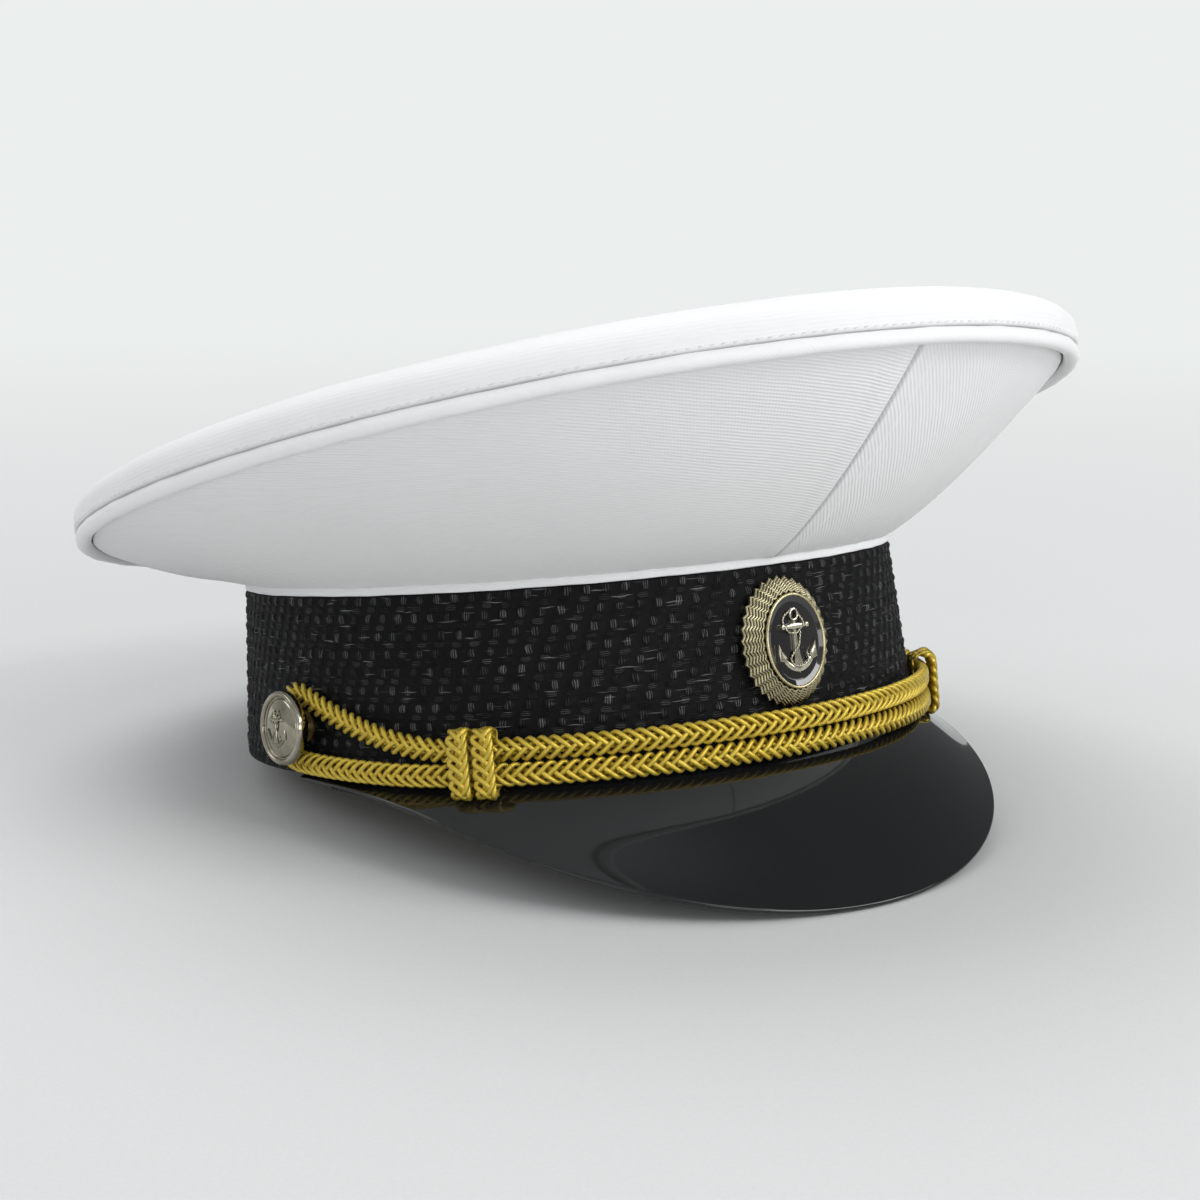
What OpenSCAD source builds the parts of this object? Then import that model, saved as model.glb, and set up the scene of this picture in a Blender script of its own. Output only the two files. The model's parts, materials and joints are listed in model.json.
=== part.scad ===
// Military peaked cap: sewn cloth crown on a stiffened band with a glossy visor,
// an oval cockade, a doubled chin cord with two sliders, and two side buttons.
// Units are millimetres. The cap rests on the visor's tip and on the band's rear edge.
// Front is -Y, the wearer's right is -X, +Z is up.

/* [Band] */
// Outside length of the band at its lower edge
band_len = 204; // [198:1:208]
// Outside width of the band at its lower edge
band_wid = 188.4; // [186:0.6:192]
// Height of the black band
band_h = 47.4; // [46:0.2:49]
// How far the band leans inwards over its height
lean = 3.75; // [3.4:0.05:4.1]
// Thickness of the woven cover
cover_t = 1.6; // [1.4:0.1:1.6]
// Thickness of the fibre stiffener
stiff_t = 1.2; // [1:0.1:1.2]

/* [Crown] */
// Half the length of the rim
rim_a = 151.4; // [148:0.2:154]
// Half the width of the rim
rim_b = 138; // [134:1:141]
// Height of the rim's middle above the band's lower edge
rim_z = 78.1; // [76:0.1:80]
// Rise of the rim from its middle to the front
rim_k = 25; // [23:0.5:26]
// Thickness of the crown's cloth with its interlining
cloth_t = 1; // [0.8:0.1:1.2]
// Height of the dome in the top panel
dome = 3.5; // [2:0.5:6]
// Radius of the piping
pipe_r = 2.2; // [1.8:0.1:2.3]

/* [Visor] */
// How far the visor's tip stands out from the band
visor_out = 31.7; // [28:0.1:33]
// How far the visor's tip lies below the band's lower edge
visor_drop = 35.4; // [33:0.1:36]
// How much the visor arches near the band, as a share of its depth
visor_bow = 0.05; // [0:0.01:0.06]
// Thickness of the visor's shell
visor_t = 1.3; // [1:0.1:1.5]

/* [Badge] */
// Half the height of the sunburst
badge_h = 17; // [15:0.5:17.5]
// Half the width of the sunburst
badge_w = 13.8; // [12:0.2:14]
// How far the sunburst domes up from its teeth to the bezel
badge_rise = 4.6; // [3:0.1:5]
// Number of the sunburst's teeth
teeth = 34; // [28:2:40]

/* [Buttons and cords] */
// Radius of a side button
button_r = 10; // [9:0.5:10.5]
// Radius of a button's shank
shank_r = 1.28; // [1.26:0.01:1.3]
// Height of one braided cord
cord_h = 6.1; // [5.8:0.1:6.1]
// Thickness of one braided cord
cord_w = 3.7; // [3.4:0.1:3.7]

/* [Hidden] */
$fn = 96;

// The cap is tipped back until the visor's tip and the band's rear edge share one plane.
tip_d = [visor_out, 0.9 - visor_drop]/norm([visor_out, 0.9 - visor_drop]);
tip_low = [visor_out, -visor_drop] - visor_t*[-tip_d[1], tip_d[0]];
tilt = atan(-tip_low[1] / (band_len + tip_low[0]));
shift_z = band_len/2 * sin(tilt);
shift_y = -5.12;
lean_a = atan(lean / band_h);

// The band is an oval of four tangent arcs. Their centres stand off the middle as 8 to 15, and PH is the
// front and rear arcs' half angle.
PH = atan(15/8);
ov_u = (band_len - band_wid)/12;
oc = 8*ov_u;
ok = 15*ov_u;
r1 = band_len/2 - oc;
r2 = band_wid/2 + ok;
SEGS = [[-PH, PH, [0, -oc, 0], r1], [PH, 180-PH, [-ok, 0, 0], r2], [180-PH, 180+PH, [0, oc, 0], r1], [PH-180, -PH, [ok, 0, 0], r2]];

// A point on the oval, grown by o, where the wall faces t degrees round from the front towards +X.
function oval(t, o) = let(a = abs(t), s = t < 0 ? -1 : 1)
  a <= PH ? [s*(r1+o)*sin(a), -oc-(r1+o)*cos(a)] :
  a >= 180-PH ? [s*(r1+o)*sin(a), oc-(r1+o)*cos(a)] :
  [s*(-ok+(r2+o)*sin(a)), -(r2+o)*cos(a)];
// Inward lean of the band's wall at height z
function ln(z) = -lean*z/band_h;
function at(p, z) = [p[0], p[1], z];
function unit(v) = v/norm(v);
function rad(t) = [sin(t), -cos(t), 0];
function smooth(u) = let(v = max(0, min(1, u))) v*v*(3-2*v);

// The rim: a tilted ellipse where the top panel meets the piping
function rim(t, r, z) = [rim_b*sin(t), -6.9 - rim_a*cos(t), rim_z + rim_k*cos(t)] + r*rad(t) + [0, 0, z];
hem_z = band_h + 2.1;
// How far the side panels belly out below the straight line from hem to rim
function belly(t) = let(c = cos(t)) 1 + (c > 0 ? 2 : 3)*c*c;
// A point of the side panels: s runs from the hem to the rim, e is the distance outside the cloth's outer face
function side(t, s, e) = let(h = at(oval(t, -lean-0.1), hem_z), q = rim(t, -3.7, -2.9), d = unit(q-h),
  n = unit(rad(t)*d[2] - [0, 0, 1]*(d*rad(t))))
  h + (q-h)*s + n*(belly(t)*4*pow(s, 0.7)*(1-s) + e);

// Closed solids from rows of points. A row is one closed loop of an even number of points.
function flat(l) = [for (a = l) for (b = a) b];
function skin(m, n, round) = flat([for (i = [0:(round ? m-1 : m-2)]) let(k = (i+1)%m) for (j = [0:n-1]) let(l = (j+1)%n)
  [[i*n+j, k*n+j, k*n+l], [i*n+j, k*n+l, i*n+l]]]);
function lid(o, n, flip) = flat([for (j = [0:n/2-2]) let(a = o+j, b = o+j+1, c = o+n-1-j, d = o+n-2-j)
  flip ? [[a, c, b], [b, c, d]] : [[a, b, c], [b, d, c]]]);
module loft(rows, round=false, turn=false) {
  m = len(rows); n = len(rows[0]);
  f = round ? skin(m, n, true) : concat(skin(m, n, false), lid(0, n, false), lid((m-1)*n, n, true));
  polyhedron(points=flat(rows), faces = turn ? [for (t = f) [t[0], t[2], t[1]]] : f, convexity=6);
}
function lin(a, b, n) = [for (i = [0:n]) a + (b-a)*i/n];

module place() translate([0, shift_y, shift_z]) rotate([-tilt, 0, 0]) children();
// A ring along the band whose section is pts, given as distance outside the oval and height
module ring(pts, t0=PH-180, t1=PH+180)
  for (g = SEGS) {
    lo = max(t0, g[0]); hi = min(t1, g[1]);
    if (hi-lo > 0.001) translate(g[2]) rotate_extrude(angle=hi-lo, start=lo-90) polygon([for (p = pts) [p[0]+g[3], p[1]]]);
  }
// The same ring as one closed loft, for pieces too thin to join arc by arc
module soft_ring(pts, n=108) loft([for (i = [0:n-1]) [for (p = pts) at(oval(i*360/n-180, p[0]), p[1])]], round=true, turn=true);
// Stands children on the band's wall: their +Z points out of it and their +Y up
module on_band(t, z) {
  p = oval(t, ln(z));
  translate([p[0], p[1], z]) rotate([0, 0, t-90]) rotate([0, 90-lean_a, 0]) rotate([0, 0, 90]) children();
}
// A strip between two heights, from o1 inside to o2 outside, leaning with the wall
function wall(o1, o2, z1, z2) = [[ln(z1)+o1, z1], [ln(z1)+o2, z1], [ln(z2)+o2, z2], [ln(z2)+o1, z2]];

BUTTON_T = 85;
BUTTON_Z = 13;
BADGE_Z = 27.7;
BADGE_T = -1.1;
eye_r = 1.35;

// ---- Crown ----
NT = 80;
TOP_OUT = [[0, 0.15], [0.6, 1.6], [0.75, 3.4], [0.3, 5.2], [-1, 7], [-3.4, 8.5], [-7, 9.4]];
TOP_IN = [[-1.2, 0.15], [-0.6, 1.8], [-0.45, 3.4], [-0.8, 4.9], [-1.9, 6.2], [-3.9, 7.4], [-7.2, 8.2]];
function topring(r, z) = [for (i = [0:NT-1]) rim(i*360/NT-180, r, z)];
function domering(u, r, z) = [for (i = [0:NT-1]) let(p = rim(i*360/NT-180, r, z), c = [0, -6.9, rim_z+z]) c + (p-c)*u + [0, 0, dome*(1-u*u)]];
module crown_top_panel() color("white") place()
  loft(concat(
    [domering(0.02, -7.2, 8.2), domering(0.3, -7.2, 8.2), domering(0.6, -7.2, 8.2), domering(0.85, -7.2, 8.2)],
    [for (i = [len(TOP_IN)-1:-1:0]) topring(TOP_IN[i][0], TOP_IN[i][1])],
    [for (p = TOP_OUT) topring(p[0], p[1])],
    [domering(0.85, -7, 9.4), domering(0.6, -7, 9.4), domering(0.3, -7, 9.4), domering(0.02, -7, 9.4)]));
NS = 8;
// The front seam runs a little aslant, from the wearer's right at its foot to the left at the rim
function aslant(t, s) = let(f = max(0, 1-abs(t)/28)) t + (2.4*s-1.3)*f*f;
module side_panel(t0, t1, n, e0=0, e1=-cloth_t, s0=0, s1=1)
  loft([for (t = lin(t0, t1, n)) concat([for (s = lin(s0, s1, NS)) side(aslant(t, s), s, e0)], [for (s = lin(s1, s0, NS)) side(aslant(t, s), s, e1)])]);
REAR_T = 137;
module crown_right_panel() color("white") place() side_panel(-REAR_T+0.06, -0.06, 46);
module crown_left_panel() color("white") place() side_panel(0.06, REAR_T-0.06, 46);
module crown_rear_panel() color("white") place()
  loft([for (t = lin(REAR_T+0.06, 360-REAR_T-0.06, 28)) concat([for (s = lin(0, 1, NS)) side(t, s, 0)], [for (s = lin(1, 0, NS)) side(t, s, -cloth_t)])]);
module crown_piping() color("white") place()
  loft([for (i = [0:95]) [for (j = [0:7]) rim(i*3.75, -1.3 + pipe_r*cos(j*45), -pipe_r-0.05 + pipe_r*sin(j*45))]], round=true);
module crown_hem_tape() color("white") place() soft_ring([[-lean-1.3, band_h+0.05], [-lean-0.1, band_h+0.05], [-lean-0.1, hem_z-0.1], [-lean-1.3, hem_z-0.1]]);
module crown_grommet() color("gainsboro") place()
  loft([for (t = lin(-178.6, 178.6, 72)) [for (j = [0:5]) rim(t, -3.6 + 1.5*cos(j*60), 3.4 + 1.5*sin(j*60))]]);
module grommet_joiner() color("silver") place()
  loft([for (j = [0:9]) let(c = cos(j*36), s = sin(j*36)) concat(
    [for (t = lin(176, 184, 6)) rim(t, -3.6 + 2.2*c, 3.4 + 2.2*s)], [for (t = lin(184, 176, 6)) rim(t, -3.6 + 1.62*c, 3.4 + 1.62*s)])], round=true, turn=true);
module crown_front_stay() color("gray") place() loft([for (t = lin(-5, 5, 4)) concat([for (s = lin(0.06, 0.9, 6)) side(t, s, -1.5)], [for (s = lin(0.9, 0.06, 6)) side(t, s, -2.3)])]);
NL = 60;
function liningring(k, e) = [for (i = [0:NL-1]) let(t = i*360/NL-180)
  k == 0 ? at(oval(t, ln(41)-5.6-e), 41) :
  k == 1 ? at(oval(t, -lean-5.4-e), 52.4) :
  k == 2 ? side(t, 0.2, -4-e) :
  k == 3 ? side(t, 0.5, -4-e) :
  k == 4 ? side(t, 0.8, -4-e) :
  k == 5 ? rim(t, -8-e, -0.5) :
  k == 6 ? rim(t, -10-e, 4-e) :
  let(u = [0.85, 0.6, 0.3, 0.02][k-7], p = rim(t, -10-e, 4-e), c = [0, -6.9, rim_z+4-e]) c + (p-c)*u + [0, 0, dome*(1-u*u)]];
module crown_lining() color("ivory") place() loft(concat([for (k = [10:-1:0]) liningring(k, 0.6)], [for (k = [0:10]) liningring(k, 0)]));
module lining_sweat_shield() color("lightblue") place()
  translate([0, -6.9, rim_z+dome+0.7]) rotate([-atan(rim_k/(rim_a-10.6)), 0, 0]) intersection() {
    translate([85, 0, 0]) cylinder(h=0.4, r=125, $fn=120);
    translate([-85, 0, 0]) cylinder(h=0.4, r=125, $fn=120);
  }

// ---- Band ----
module wall_holes(front_r, side_r) {
  on_band(BADGE_T, BADGE_Z) translate([0, 0, -4.5]) cylinder(h=6, r=front_r);
  for (s = [-1, 1]) on_band(s*BUTTON_T, BUTTON_Z) translate([0, 0, -4.5]) cylinder(h=6, r=side_r);
}
module band_cover() color("black") place() difference() {
  soft_ring([[ln(0.1)-cover_t, 0.1], [-0.5, 0], [0, 0.6], [ln(band_h-0.5), band_h-0.5], [ln(band_h)-0.5, band_h], [ln(band_h)-cover_t, band_h]]);
  wall_holes(1.7, 2.3);
}
module band_stiffener() color("tan") place() difference() {
  soft_ring(wall(-cover_t-0.15-stiff_t, -cover_t-0.15, 0.9, band_h-0.6), 90);
  wall_holes(1.7, 2.3);
}
module sweatband() color("saddlebrown") place() soft_ring(wall(-6.4, -5.4, 2.2, 40), 90);
module sweatband_reed() color("peru") place() soft_ring([for (i = [0:5]) [-4.6 + 0.8*cos(i*60), 1.25 + 0.8*sin(i*60)]], 66);
module eyelet(s) color("goldenrod") place() on_band(s*BUTTON_T, BUTTON_Z) difference() {
  union() {
    translate([0, 0, -3.4]) cylinder(h=3.85, r=2.15);
    translate([0, 0, 0.1]) cylinder(h=0.35, r=4.2);
    translate([0, 0, -3.4]) cylinder(h=0.35, r=3.8);
  }
  translate([0, 0, -4]) cylinder(h=5, r=eye_r);
}
module eyelet_right() eyelet(-1);
module eyelet_left() eyelet(1);

// ---- Visor ----
VT = 87;
function vg(t) = max(0, 1 - (t/VT)*(t/VT));
function visor_edge(t) = [0.4 + (visor_out-0.4)*pow(vg(t), 1.83), -0.9 - (visor_drop-0.9)*pow(vg(t), 2.66)];
// A point of the visor: s runs from the seam at the band to the outer edge, e is the depth below the top face
function visor(t, s, e) = let(b = [0, -0.9], q = visor_edge(t), d = unit(q-b), n = [-d[1], d[0]],
  p = b + (q-b)*s + n*(norm(q-b)*visor_bow*vg(t)*vg(t)*6.75*s*(1-s)*(1-s) - e)) at(oval(t, p[0]), p[1]);
function visor_root(t, z) = at(oval(t, -1.5), z);
module visor_layer(e0, e1, s1, t1) loft([for (t = lin(-t1, t1, 44)) concat(
  [visor_root(t, -0.12-e0)], [for (s = lin(0, s1, 7)) visor(t, s, e0)], [for (s = lin(s1, 0, 7)) visor(t, s, e1)], [visor_root(t, -0.12-e1)])], turn=true);
module visor_shell() color("black") place() visor_layer(0, visor_t, 1, VT);
module visor_lining() color("darkslategray") place() visor_layer(visor_t+0.05, visor_t+0.55, 0.93, VT-8);

// ---- Badge ----
function ell(a, b, n=48) = [for (i = [0:n-1]) [a*cos(i*360/n), b*sin(i*360/n)]];
module on_badge() place() on_band(BADGE_T, BADGE_Z) children();
module badge_backplate() color("silver") on_badge() translate([0, 0, 0.25]) linear_extrude(0.55) polygon(ell(badge_w-2.4, badge_h-2.4));
// One level of the sunburst: k is its size, d the depth of its teeth and z its height
function burst(k, d, z) = [for (i = [0:2*teeth-1]) let(q = k*(i%2 == 0 ? 1 : 1-d)) [badge_w*q*sin(i*180/teeth), badge_h*q*cos(i*180/teeth), z]];
SEAT_Z = 1.35 + badge_rise - 0.75;
module badge_starburst() color("khaki") on_badge() difference() {
  loft([burst(1, 0.06, 0.85), burst(1, 0.06, 1.35), burst(0.88, 0.035, 1.35+badge_rise*0.46), burst(0.755, 0.01, 1.35+badge_rise)], turn=true);
  translate([0, 0, SEAT_Z]) linear_extrude(2) polygon(ell(9.45, 12.25));
  loft([[for (p = ell(10.6, 13.8, 40)) [p[0], p[1], 0.5]], [for (p = ell(7.6, 10, 40)) [p[0], p[1], SEAT_Z-0.7]]]);
}
module badge_bezel() color("gold") on_badge() translate([0, 0, SEAT_Z+0.05]) difference() {
  linear_extrude(1.5) polygon(ell(9.4, 12.2));
  translate([0, 0, -1]) linear_extrude(4) polygon(ell(8.65, 11.45));
}
module badge_enamel() color("black") on_badge() translate([0, 0, SEAT_Z+0.05]) linear_extrude(0.95) polygon(ell(8.6, 11.4));
// An anchor, h high, as raised relief t thick
module anchor(h, t) {
  k = h/14;
  translate([0, 5.6*k, 0]) difference() { cylinder(h=t, r=1.3*k, $fn=32); translate([0, 0, -1]) cylinder(h=t+2, r=0.75*k, $fn=32); }
  translate([-0.5*k, -6*k, 0]) cube([k, 10.5*k, t]);
  translate([-3.2*k, 2.7*k, 0]) cube([6.4*k, 1.1*k, t]);
  translate([0, -1.4*k, 0]) intersection() {
    difference() { cylinder(h=t, r=5.4*k, $fn=64); translate([0, 0.5*k, -1]) cylinder(h=t+2, r=4.3*k, $fn=64); }
    translate([-6*k, -6*k, -1]) cube([12*k, 4.6*k, t+2]);
  }
  for (s = [-1, 1]) linear_extrude(t) polygon([[s*3.3*k, -3.2*k], [s*5.9*k, -3.6*k], [s*5.3*k, -0.4*k]]);
}
module badge_anchor() color("silver") on_badge() translate([0, 0, SEAT_Z+1.05]) scale([0.85, 1, 1]) anchor(16.8, 0.8);
module badge_anchor_rope() color("silver") on_badge() translate([0, 0, SEAT_Z+1.9]) scale([1.04, 1.24, 1]) {
  translate([0, 3.4, 0]) rotate([0, 0, -60]) rotate_extrude(angle=260) translate([2.2, 0]) square([0.5, 0.5]);
  translate([0.35, -1.62, 0]) rotate([0, 0, 100]) rotate_extrude(angle=170) translate([2.35, 0]) square([0.5, 0.5]);
  linear_extrude(0.5) polygon([[1.45, 1.3], [1, 1.6], [-0.25, 1.25], [-0.05, 0.7]]);
}
module badge_stud() color("goldenrod") on_badge() translate([0, 0, -5]) cylinder(h=5.2, r=1.5);
module badge_washer() color("goldenrod") on_badge() translate([0, 0, -3.7]) difference() { cylinder(h=0.4, r=4.5); translate([0, 0, -1]) cylinder(h=3, r=1.55); }
module badge_nut() color("goldenrod") on_badge() translate([0, 0, -4.85]) difference() { cylinder(h=1.1, r=4); translate([0, 0, -1]) cylinder(h=3, r=1.52); }

// ---- Chin cords ----
CORD_OFF = 3.5;      // middle of a cord outside the band, where the sliders run
CORD_OFF_END = 2.25; // the same, beside the buttons
UP_Z = 8.35;
LOW_Z = 2.05;
LOOP_R = 9;
UP_TURN = 21.4;
LOW_TURN = 4.1;
SPLIT_T = 57;
OCT = let(w = cord_w/2, h = cord_h/2, c = 1.3, d = 1.9) [[-w, h-d], [-w+c, h], [w-c, h], [w, h-d], [w, d-h], [w-c, -h], [c-w, -h], [-w, d-h]];
RS = r2 + 2.5;
RF = r1 + 2.5;
A_SIDE = (BUTTON_T-PH)*PI/180*RS;
A_ALL = A_SIDE + (PH-SPLIT_T)*PI/180*RF;
// Distance along the band from the button's shank, for a wall angle, and the reverse
function t2a(t) = t >= PH ? (BUTTON_T-t)*PI/180*RS : A_SIDE + (PH-t)*PI/180*RF;
function a2t(a) = a <= A_SIDE ? BUTTON_T - a/RS*180/PI : PH - (a-A_SIDE)/RF*180/PI;
function off_at(a) = CORD_OFF_END + (CORD_OFF-CORD_OFF_END)*smooth((a-16)/32);
// One section of cord: a and z place its middle, (na, nz) is the direction across it, s is the side
function cut(s, a, z, na, nz) = [for (v = OCT) let(t = a2t(a + v[1]*na), q = z + v[1]*nz) at(oval(s*t, ln(max(0, q))*(1-smooth((a-16)/32)) + off_at(a) + v[0]), q)];
// The upper cord rises to its loop steadily, the lower one is nearly level
function rise(z0, z1, a, ae, w) = z0 + (z1-z0)*pow((A_ALL-a)/(A_ALL-ae), w);
function slope(z0, z1, a, ae, w) = w*(z1-z0)/(A_ALL-ae)*pow((A_ALL-a)/(A_ALL-ae), w-1);
function branch(s, z0, z1, ae, w, n) = [for (i = [0:n]) let(a = ae + (A_ALL-ae)*i/n, m = slope(z0, z1, a, ae, w), k = sqrt(1+m*m)) cut(s, a, rise(z0, z1, a, ae, w), m/k, 1/k)];
function front(z0, n) = [for (i = [1:n-1]) let(t = -SPLIT_T + 2*SPLIT_T*i/n) [for (v = OCT) at(oval(t, CORD_OFF + v[0]), z0+v[1])]];
function rev(l) = [for (i = [len(l)-1:-1:0]) l[i]];
UP_A = LOOP_R*sin(UP_TURN);
UP_E = BUTTON_Z + LOOP_R*cos(UP_TURN);
LOW_A = -LOOP_R*sin(LOW_TURN);
LOW_E = BUTTON_Z - LOOP_R*cos(LOW_TURN);
module cord(z0, z1, ae, w) loft(concat(branch(-1, z0, z1, ae, w, 16), front(z0, 46), rev(branch(1, z0, z1, ae, w, 16))), turn=true);
module chin_cord_upper() color("gold") place() cord(UP_Z, UP_E, UP_A+0.05, 1.55);
module chin_cord_lower() color("gold") place() cord(LOW_Z, LOW_E, LOW_A+0.05, 2);
module cord_loop(s) color("gold") place() loft([for (i = [0:22]) let(p = 90-UP_TURN + (180+UP_TURN-LOW_TURN)*i/22, c = cos(p), q = sin(p))
  cut(s, LOOP_R*c, BUTTON_Z + LOOP_R*q, c, q)], turn = s < 0);
module cord_loop_right() cord_loop(-1);
module cord_loop_left() cord_loop(1);
SLIDER_T = 53;
WRAP_OUT = [[0.35, -0.7], [0.35, 13.2], [1.2, 14.3], [6.2, 14.3], [7.3, 13.2], [7.3, -3.2], [6.3, -4.1], [4.8, -3.3], [2.9, -2.1]];
WRAP_IN = [[1.3, -0.35], [1.3, 11.8], [5.75, 11.8], [5.75, -1.4], [2.8, -1.4]];
module wrap(t) color("gold") place() difference() {
  ring(WRAP_OUT, t-1.88, t+1.88);
  ring(WRAP_IN, t-2.4, t+2.4);
}
module slider_right_front_wrap() wrap(-SLIDER_T+1.95);
module slider_right_rear_wrap() wrap(-SLIDER_T-1.95);
module slider_left_front_wrap() wrap(SLIDER_T-1.95);
module slider_left_rear_wrap() wrap(SLIDER_T+1.95);

// ---- Buttons ----
module on_button(s) place() on_band(s*BUTTON_T, BUTTON_Z) children();
module button_face(s) color("silver") on_button(s) rotate_extrude() polygon([[0, 5.7], [button_r-1, 5.7], [button_r, 6.6], [button_r, 8], [button_r-0.5, 8.6],
  [button_r-1.1, 8.6], [button_r-1.6, 8], [button_r-2.2, 8.05], [button_r-4.2, 8.75], [button_r-6.6, 9.25], [0, 9.5]]);
module button_emblem(s) color("silver") on_button(s) difference() {
  translate([0, 0, 8.2]) anchor(10.6, 2);
  rotate_extrude() polygon([[0, 0], [button_r, 0], [button_r, 8.1], [button_r-2.2, 8.1], [button_r-4.2, 8.8], [button_r-6.6, 9.3], [0, 9.55]]);
}
module button_back(s) color("gray") on_button(s) difference() {
  translate([0, 0, 4.4]) cylinder(h=1.25, r1=button_r-2, r2=button_r-0.9);
  translate([0, 0, 3]) cylinder(h=2.2, r=1.32);
}
module button_shank(s) color("gray") on_button(s) difference() {
  translate([0, 0, -5.1]) cylinder(h=10.2, r=shank_r);
  translate([-5, 0, -4.5]) rotate([0, 90, 0]) cylinder(h=10, r=0.5, $fn=32);
}
module button_washer(s) color("silver") on_button(s) translate([0, 0, -3.95]) difference() { cylinder(h=0.25, r=3.4); translate([0, 0, -1]) cylinder(h=2, r=1.33); }
module button_pin(s) color("gray") on_button(s) translate([-3.6, 0, -4.5]) rotate([0, 90, 0]) cylinder(h=7.2, r=0.45, $fn=32);
module button_right_face() button_face(-1);
module button_right_emblem() button_emblem(-1);
module button_right_back() button_back(-1);
module button_right_shank() button_shank(-1);
module button_right_washer() button_washer(-1);
module button_right_split_pin() button_pin(-1);
module button_left_face() button_face(1);
module button_left_emblem() button_emblem(1);
module button_left_back() button_back(1);
module button_left_shank() button_shank(1);
module button_left_washer() button_washer(1);
module button_left_split_pin() button_pin(1);

crown_top_panel();
crown_right_panel();
crown_left_panel();
crown_rear_panel();
crown_piping();
crown_hem_tape();
crown_grommet();
grommet_joiner();
crown_front_stay();
crown_lining();
lining_sweat_shield();
band_cover();
band_stiffener();
sweatband();
sweatband_reed();
eyelet_right();
eyelet_left();
visor_shell();
visor_lining();
badge_backplate();
badge_starburst();
badge_bezel();
badge_enamel();
badge_anchor();
badge_anchor_rope();
badge_stud();
badge_washer();
badge_nut();
chin_cord_upper();
chin_cord_lower();
cord_loop_right();
cord_loop_left();
slider_right_front_wrap();
slider_right_rear_wrap();
slider_left_front_wrap();
slider_left_rear_wrap();
button_right_face();
button_right_emblem();
button_right_back();
button_right_shank();
button_right_washer();
button_right_split_pin();
button_left_face();
button_left_emblem();
button_left_back();
button_left_shank();
button_left_washer();
button_left_split_pin();
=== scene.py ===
import json
import math

import bmesh
import bpy
import numpy as np
from mathutils import Matrix, Vector

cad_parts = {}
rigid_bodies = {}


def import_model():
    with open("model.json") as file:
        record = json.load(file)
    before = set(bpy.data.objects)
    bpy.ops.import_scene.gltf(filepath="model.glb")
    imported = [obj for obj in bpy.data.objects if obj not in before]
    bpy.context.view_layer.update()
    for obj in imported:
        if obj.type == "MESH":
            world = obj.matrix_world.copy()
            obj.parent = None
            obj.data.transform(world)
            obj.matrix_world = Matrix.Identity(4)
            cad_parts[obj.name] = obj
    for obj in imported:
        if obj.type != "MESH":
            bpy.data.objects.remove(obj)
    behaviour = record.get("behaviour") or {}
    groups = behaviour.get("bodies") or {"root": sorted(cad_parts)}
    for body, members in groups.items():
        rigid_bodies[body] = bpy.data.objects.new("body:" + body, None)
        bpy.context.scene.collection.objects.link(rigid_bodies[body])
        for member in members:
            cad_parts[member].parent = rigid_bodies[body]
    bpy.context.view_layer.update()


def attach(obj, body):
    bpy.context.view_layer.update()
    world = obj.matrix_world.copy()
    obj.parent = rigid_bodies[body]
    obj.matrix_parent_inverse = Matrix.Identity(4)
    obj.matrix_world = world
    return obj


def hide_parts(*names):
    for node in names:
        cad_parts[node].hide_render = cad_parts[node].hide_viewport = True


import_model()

PI = math.pi

# ------------------------------------------------------------------ the CAD's own shape rules, in millimetres
BAND_LEN, BAND_WID, BAND_H, LEAN, COVER_T = 204.0, 188.4, 47.4, 3.75, 1.6
RIM_A, RIM_B, RIM_Z, RIM_K, DOME, PIPE_R = 151.4, 138.0, 78.1, 25.0, 3.5, 2.2
VISOR_OUT, VISOR_DROP, VISOR_T, VT, BOW = 31.7, 35.4, 1.3, 87.0, 0.05
BUTTON_T, BUTTON_Z, BADGE_T, BADGE_Z, SEAT_Z, SHIFT_Y = 85.0, 13.0, -1.1, 27.7, 5.2, -5.12
tip = np.array([VISOR_OUT, 0.9 - VISOR_DROP]); tip /= np.linalg.norm(tip)
low = np.array([VISOR_OUT, -VISOR_DROP]) - VISOR_T * np.array([-tip[1], tip[0]])
TILT = math.atan(-low[1] / (BAND_LEN + low[0]))
SHIFT_Z = BAND_LEN / 2 * math.sin(TILT)
LEAN_A = math.atan(LEAN / BAND_H)
PH = math.degrees(math.atan(15 / 8))
OC, OK = 8 * (BAND_LEN - BAND_WID) / 12, 15 * (BAND_LEN - BAND_WID) / 12
R1, R2 = BAND_LEN / 2 - OC, BAND_WID / 2 + OK


def W(p):
    """Millimetres in the cap's own frame to metres in the row frame."""
    p = np.asarray(p, float)
    s, c = math.sin(TILT), math.cos(TILT)
    return np.stack([p[..., 0], p[..., 1] * c + p[..., 2] * s + SHIFT_Y, -p[..., 1] * s + p[..., 2] * c + SHIFT_Z], -1) * 0.001


def sind(t): return np.sin(np.radians(t))
def cosd(t): return np.cos(np.radians(t))
def smooth(u): v = np.clip(u, 0, 1); return v * v * (3 - 2 * v)
def unit(v): return v / np.maximum(np.linalg.norm(v, axis=-1, keepdims=True), 1e-12)
def ln(z): return -LEAN * np.asarray(z, float) / BAND_H


def oval(t, o):
    t = (np.asarray(t, float) + 180) % 360 - 180
    t, o = np.broadcast_arrays(t, np.asarray(o, float))
    a, s = np.abs(t), np.where(t < 0, -1.0, 1.0)
    x = np.where(a <= PH, (R1 + o) * sind(a), np.where(a >= 180 - PH, (R1 + o) * sind(a), -OK + (R2 + o) * sind(a)))
    y = np.where(a <= PH, -OC - (R1 + o) * cosd(a), np.where(a >= 180 - PH, OC - (R1 + o) * cosd(a), -(R2 + o) * cosd(a)))
    return s * x, y


def at(t, o, z):
    x, y = oval(t, o)
    return np.stack(np.broadcast_arrays(x, y, np.asarray(z, float)), -1)


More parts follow.
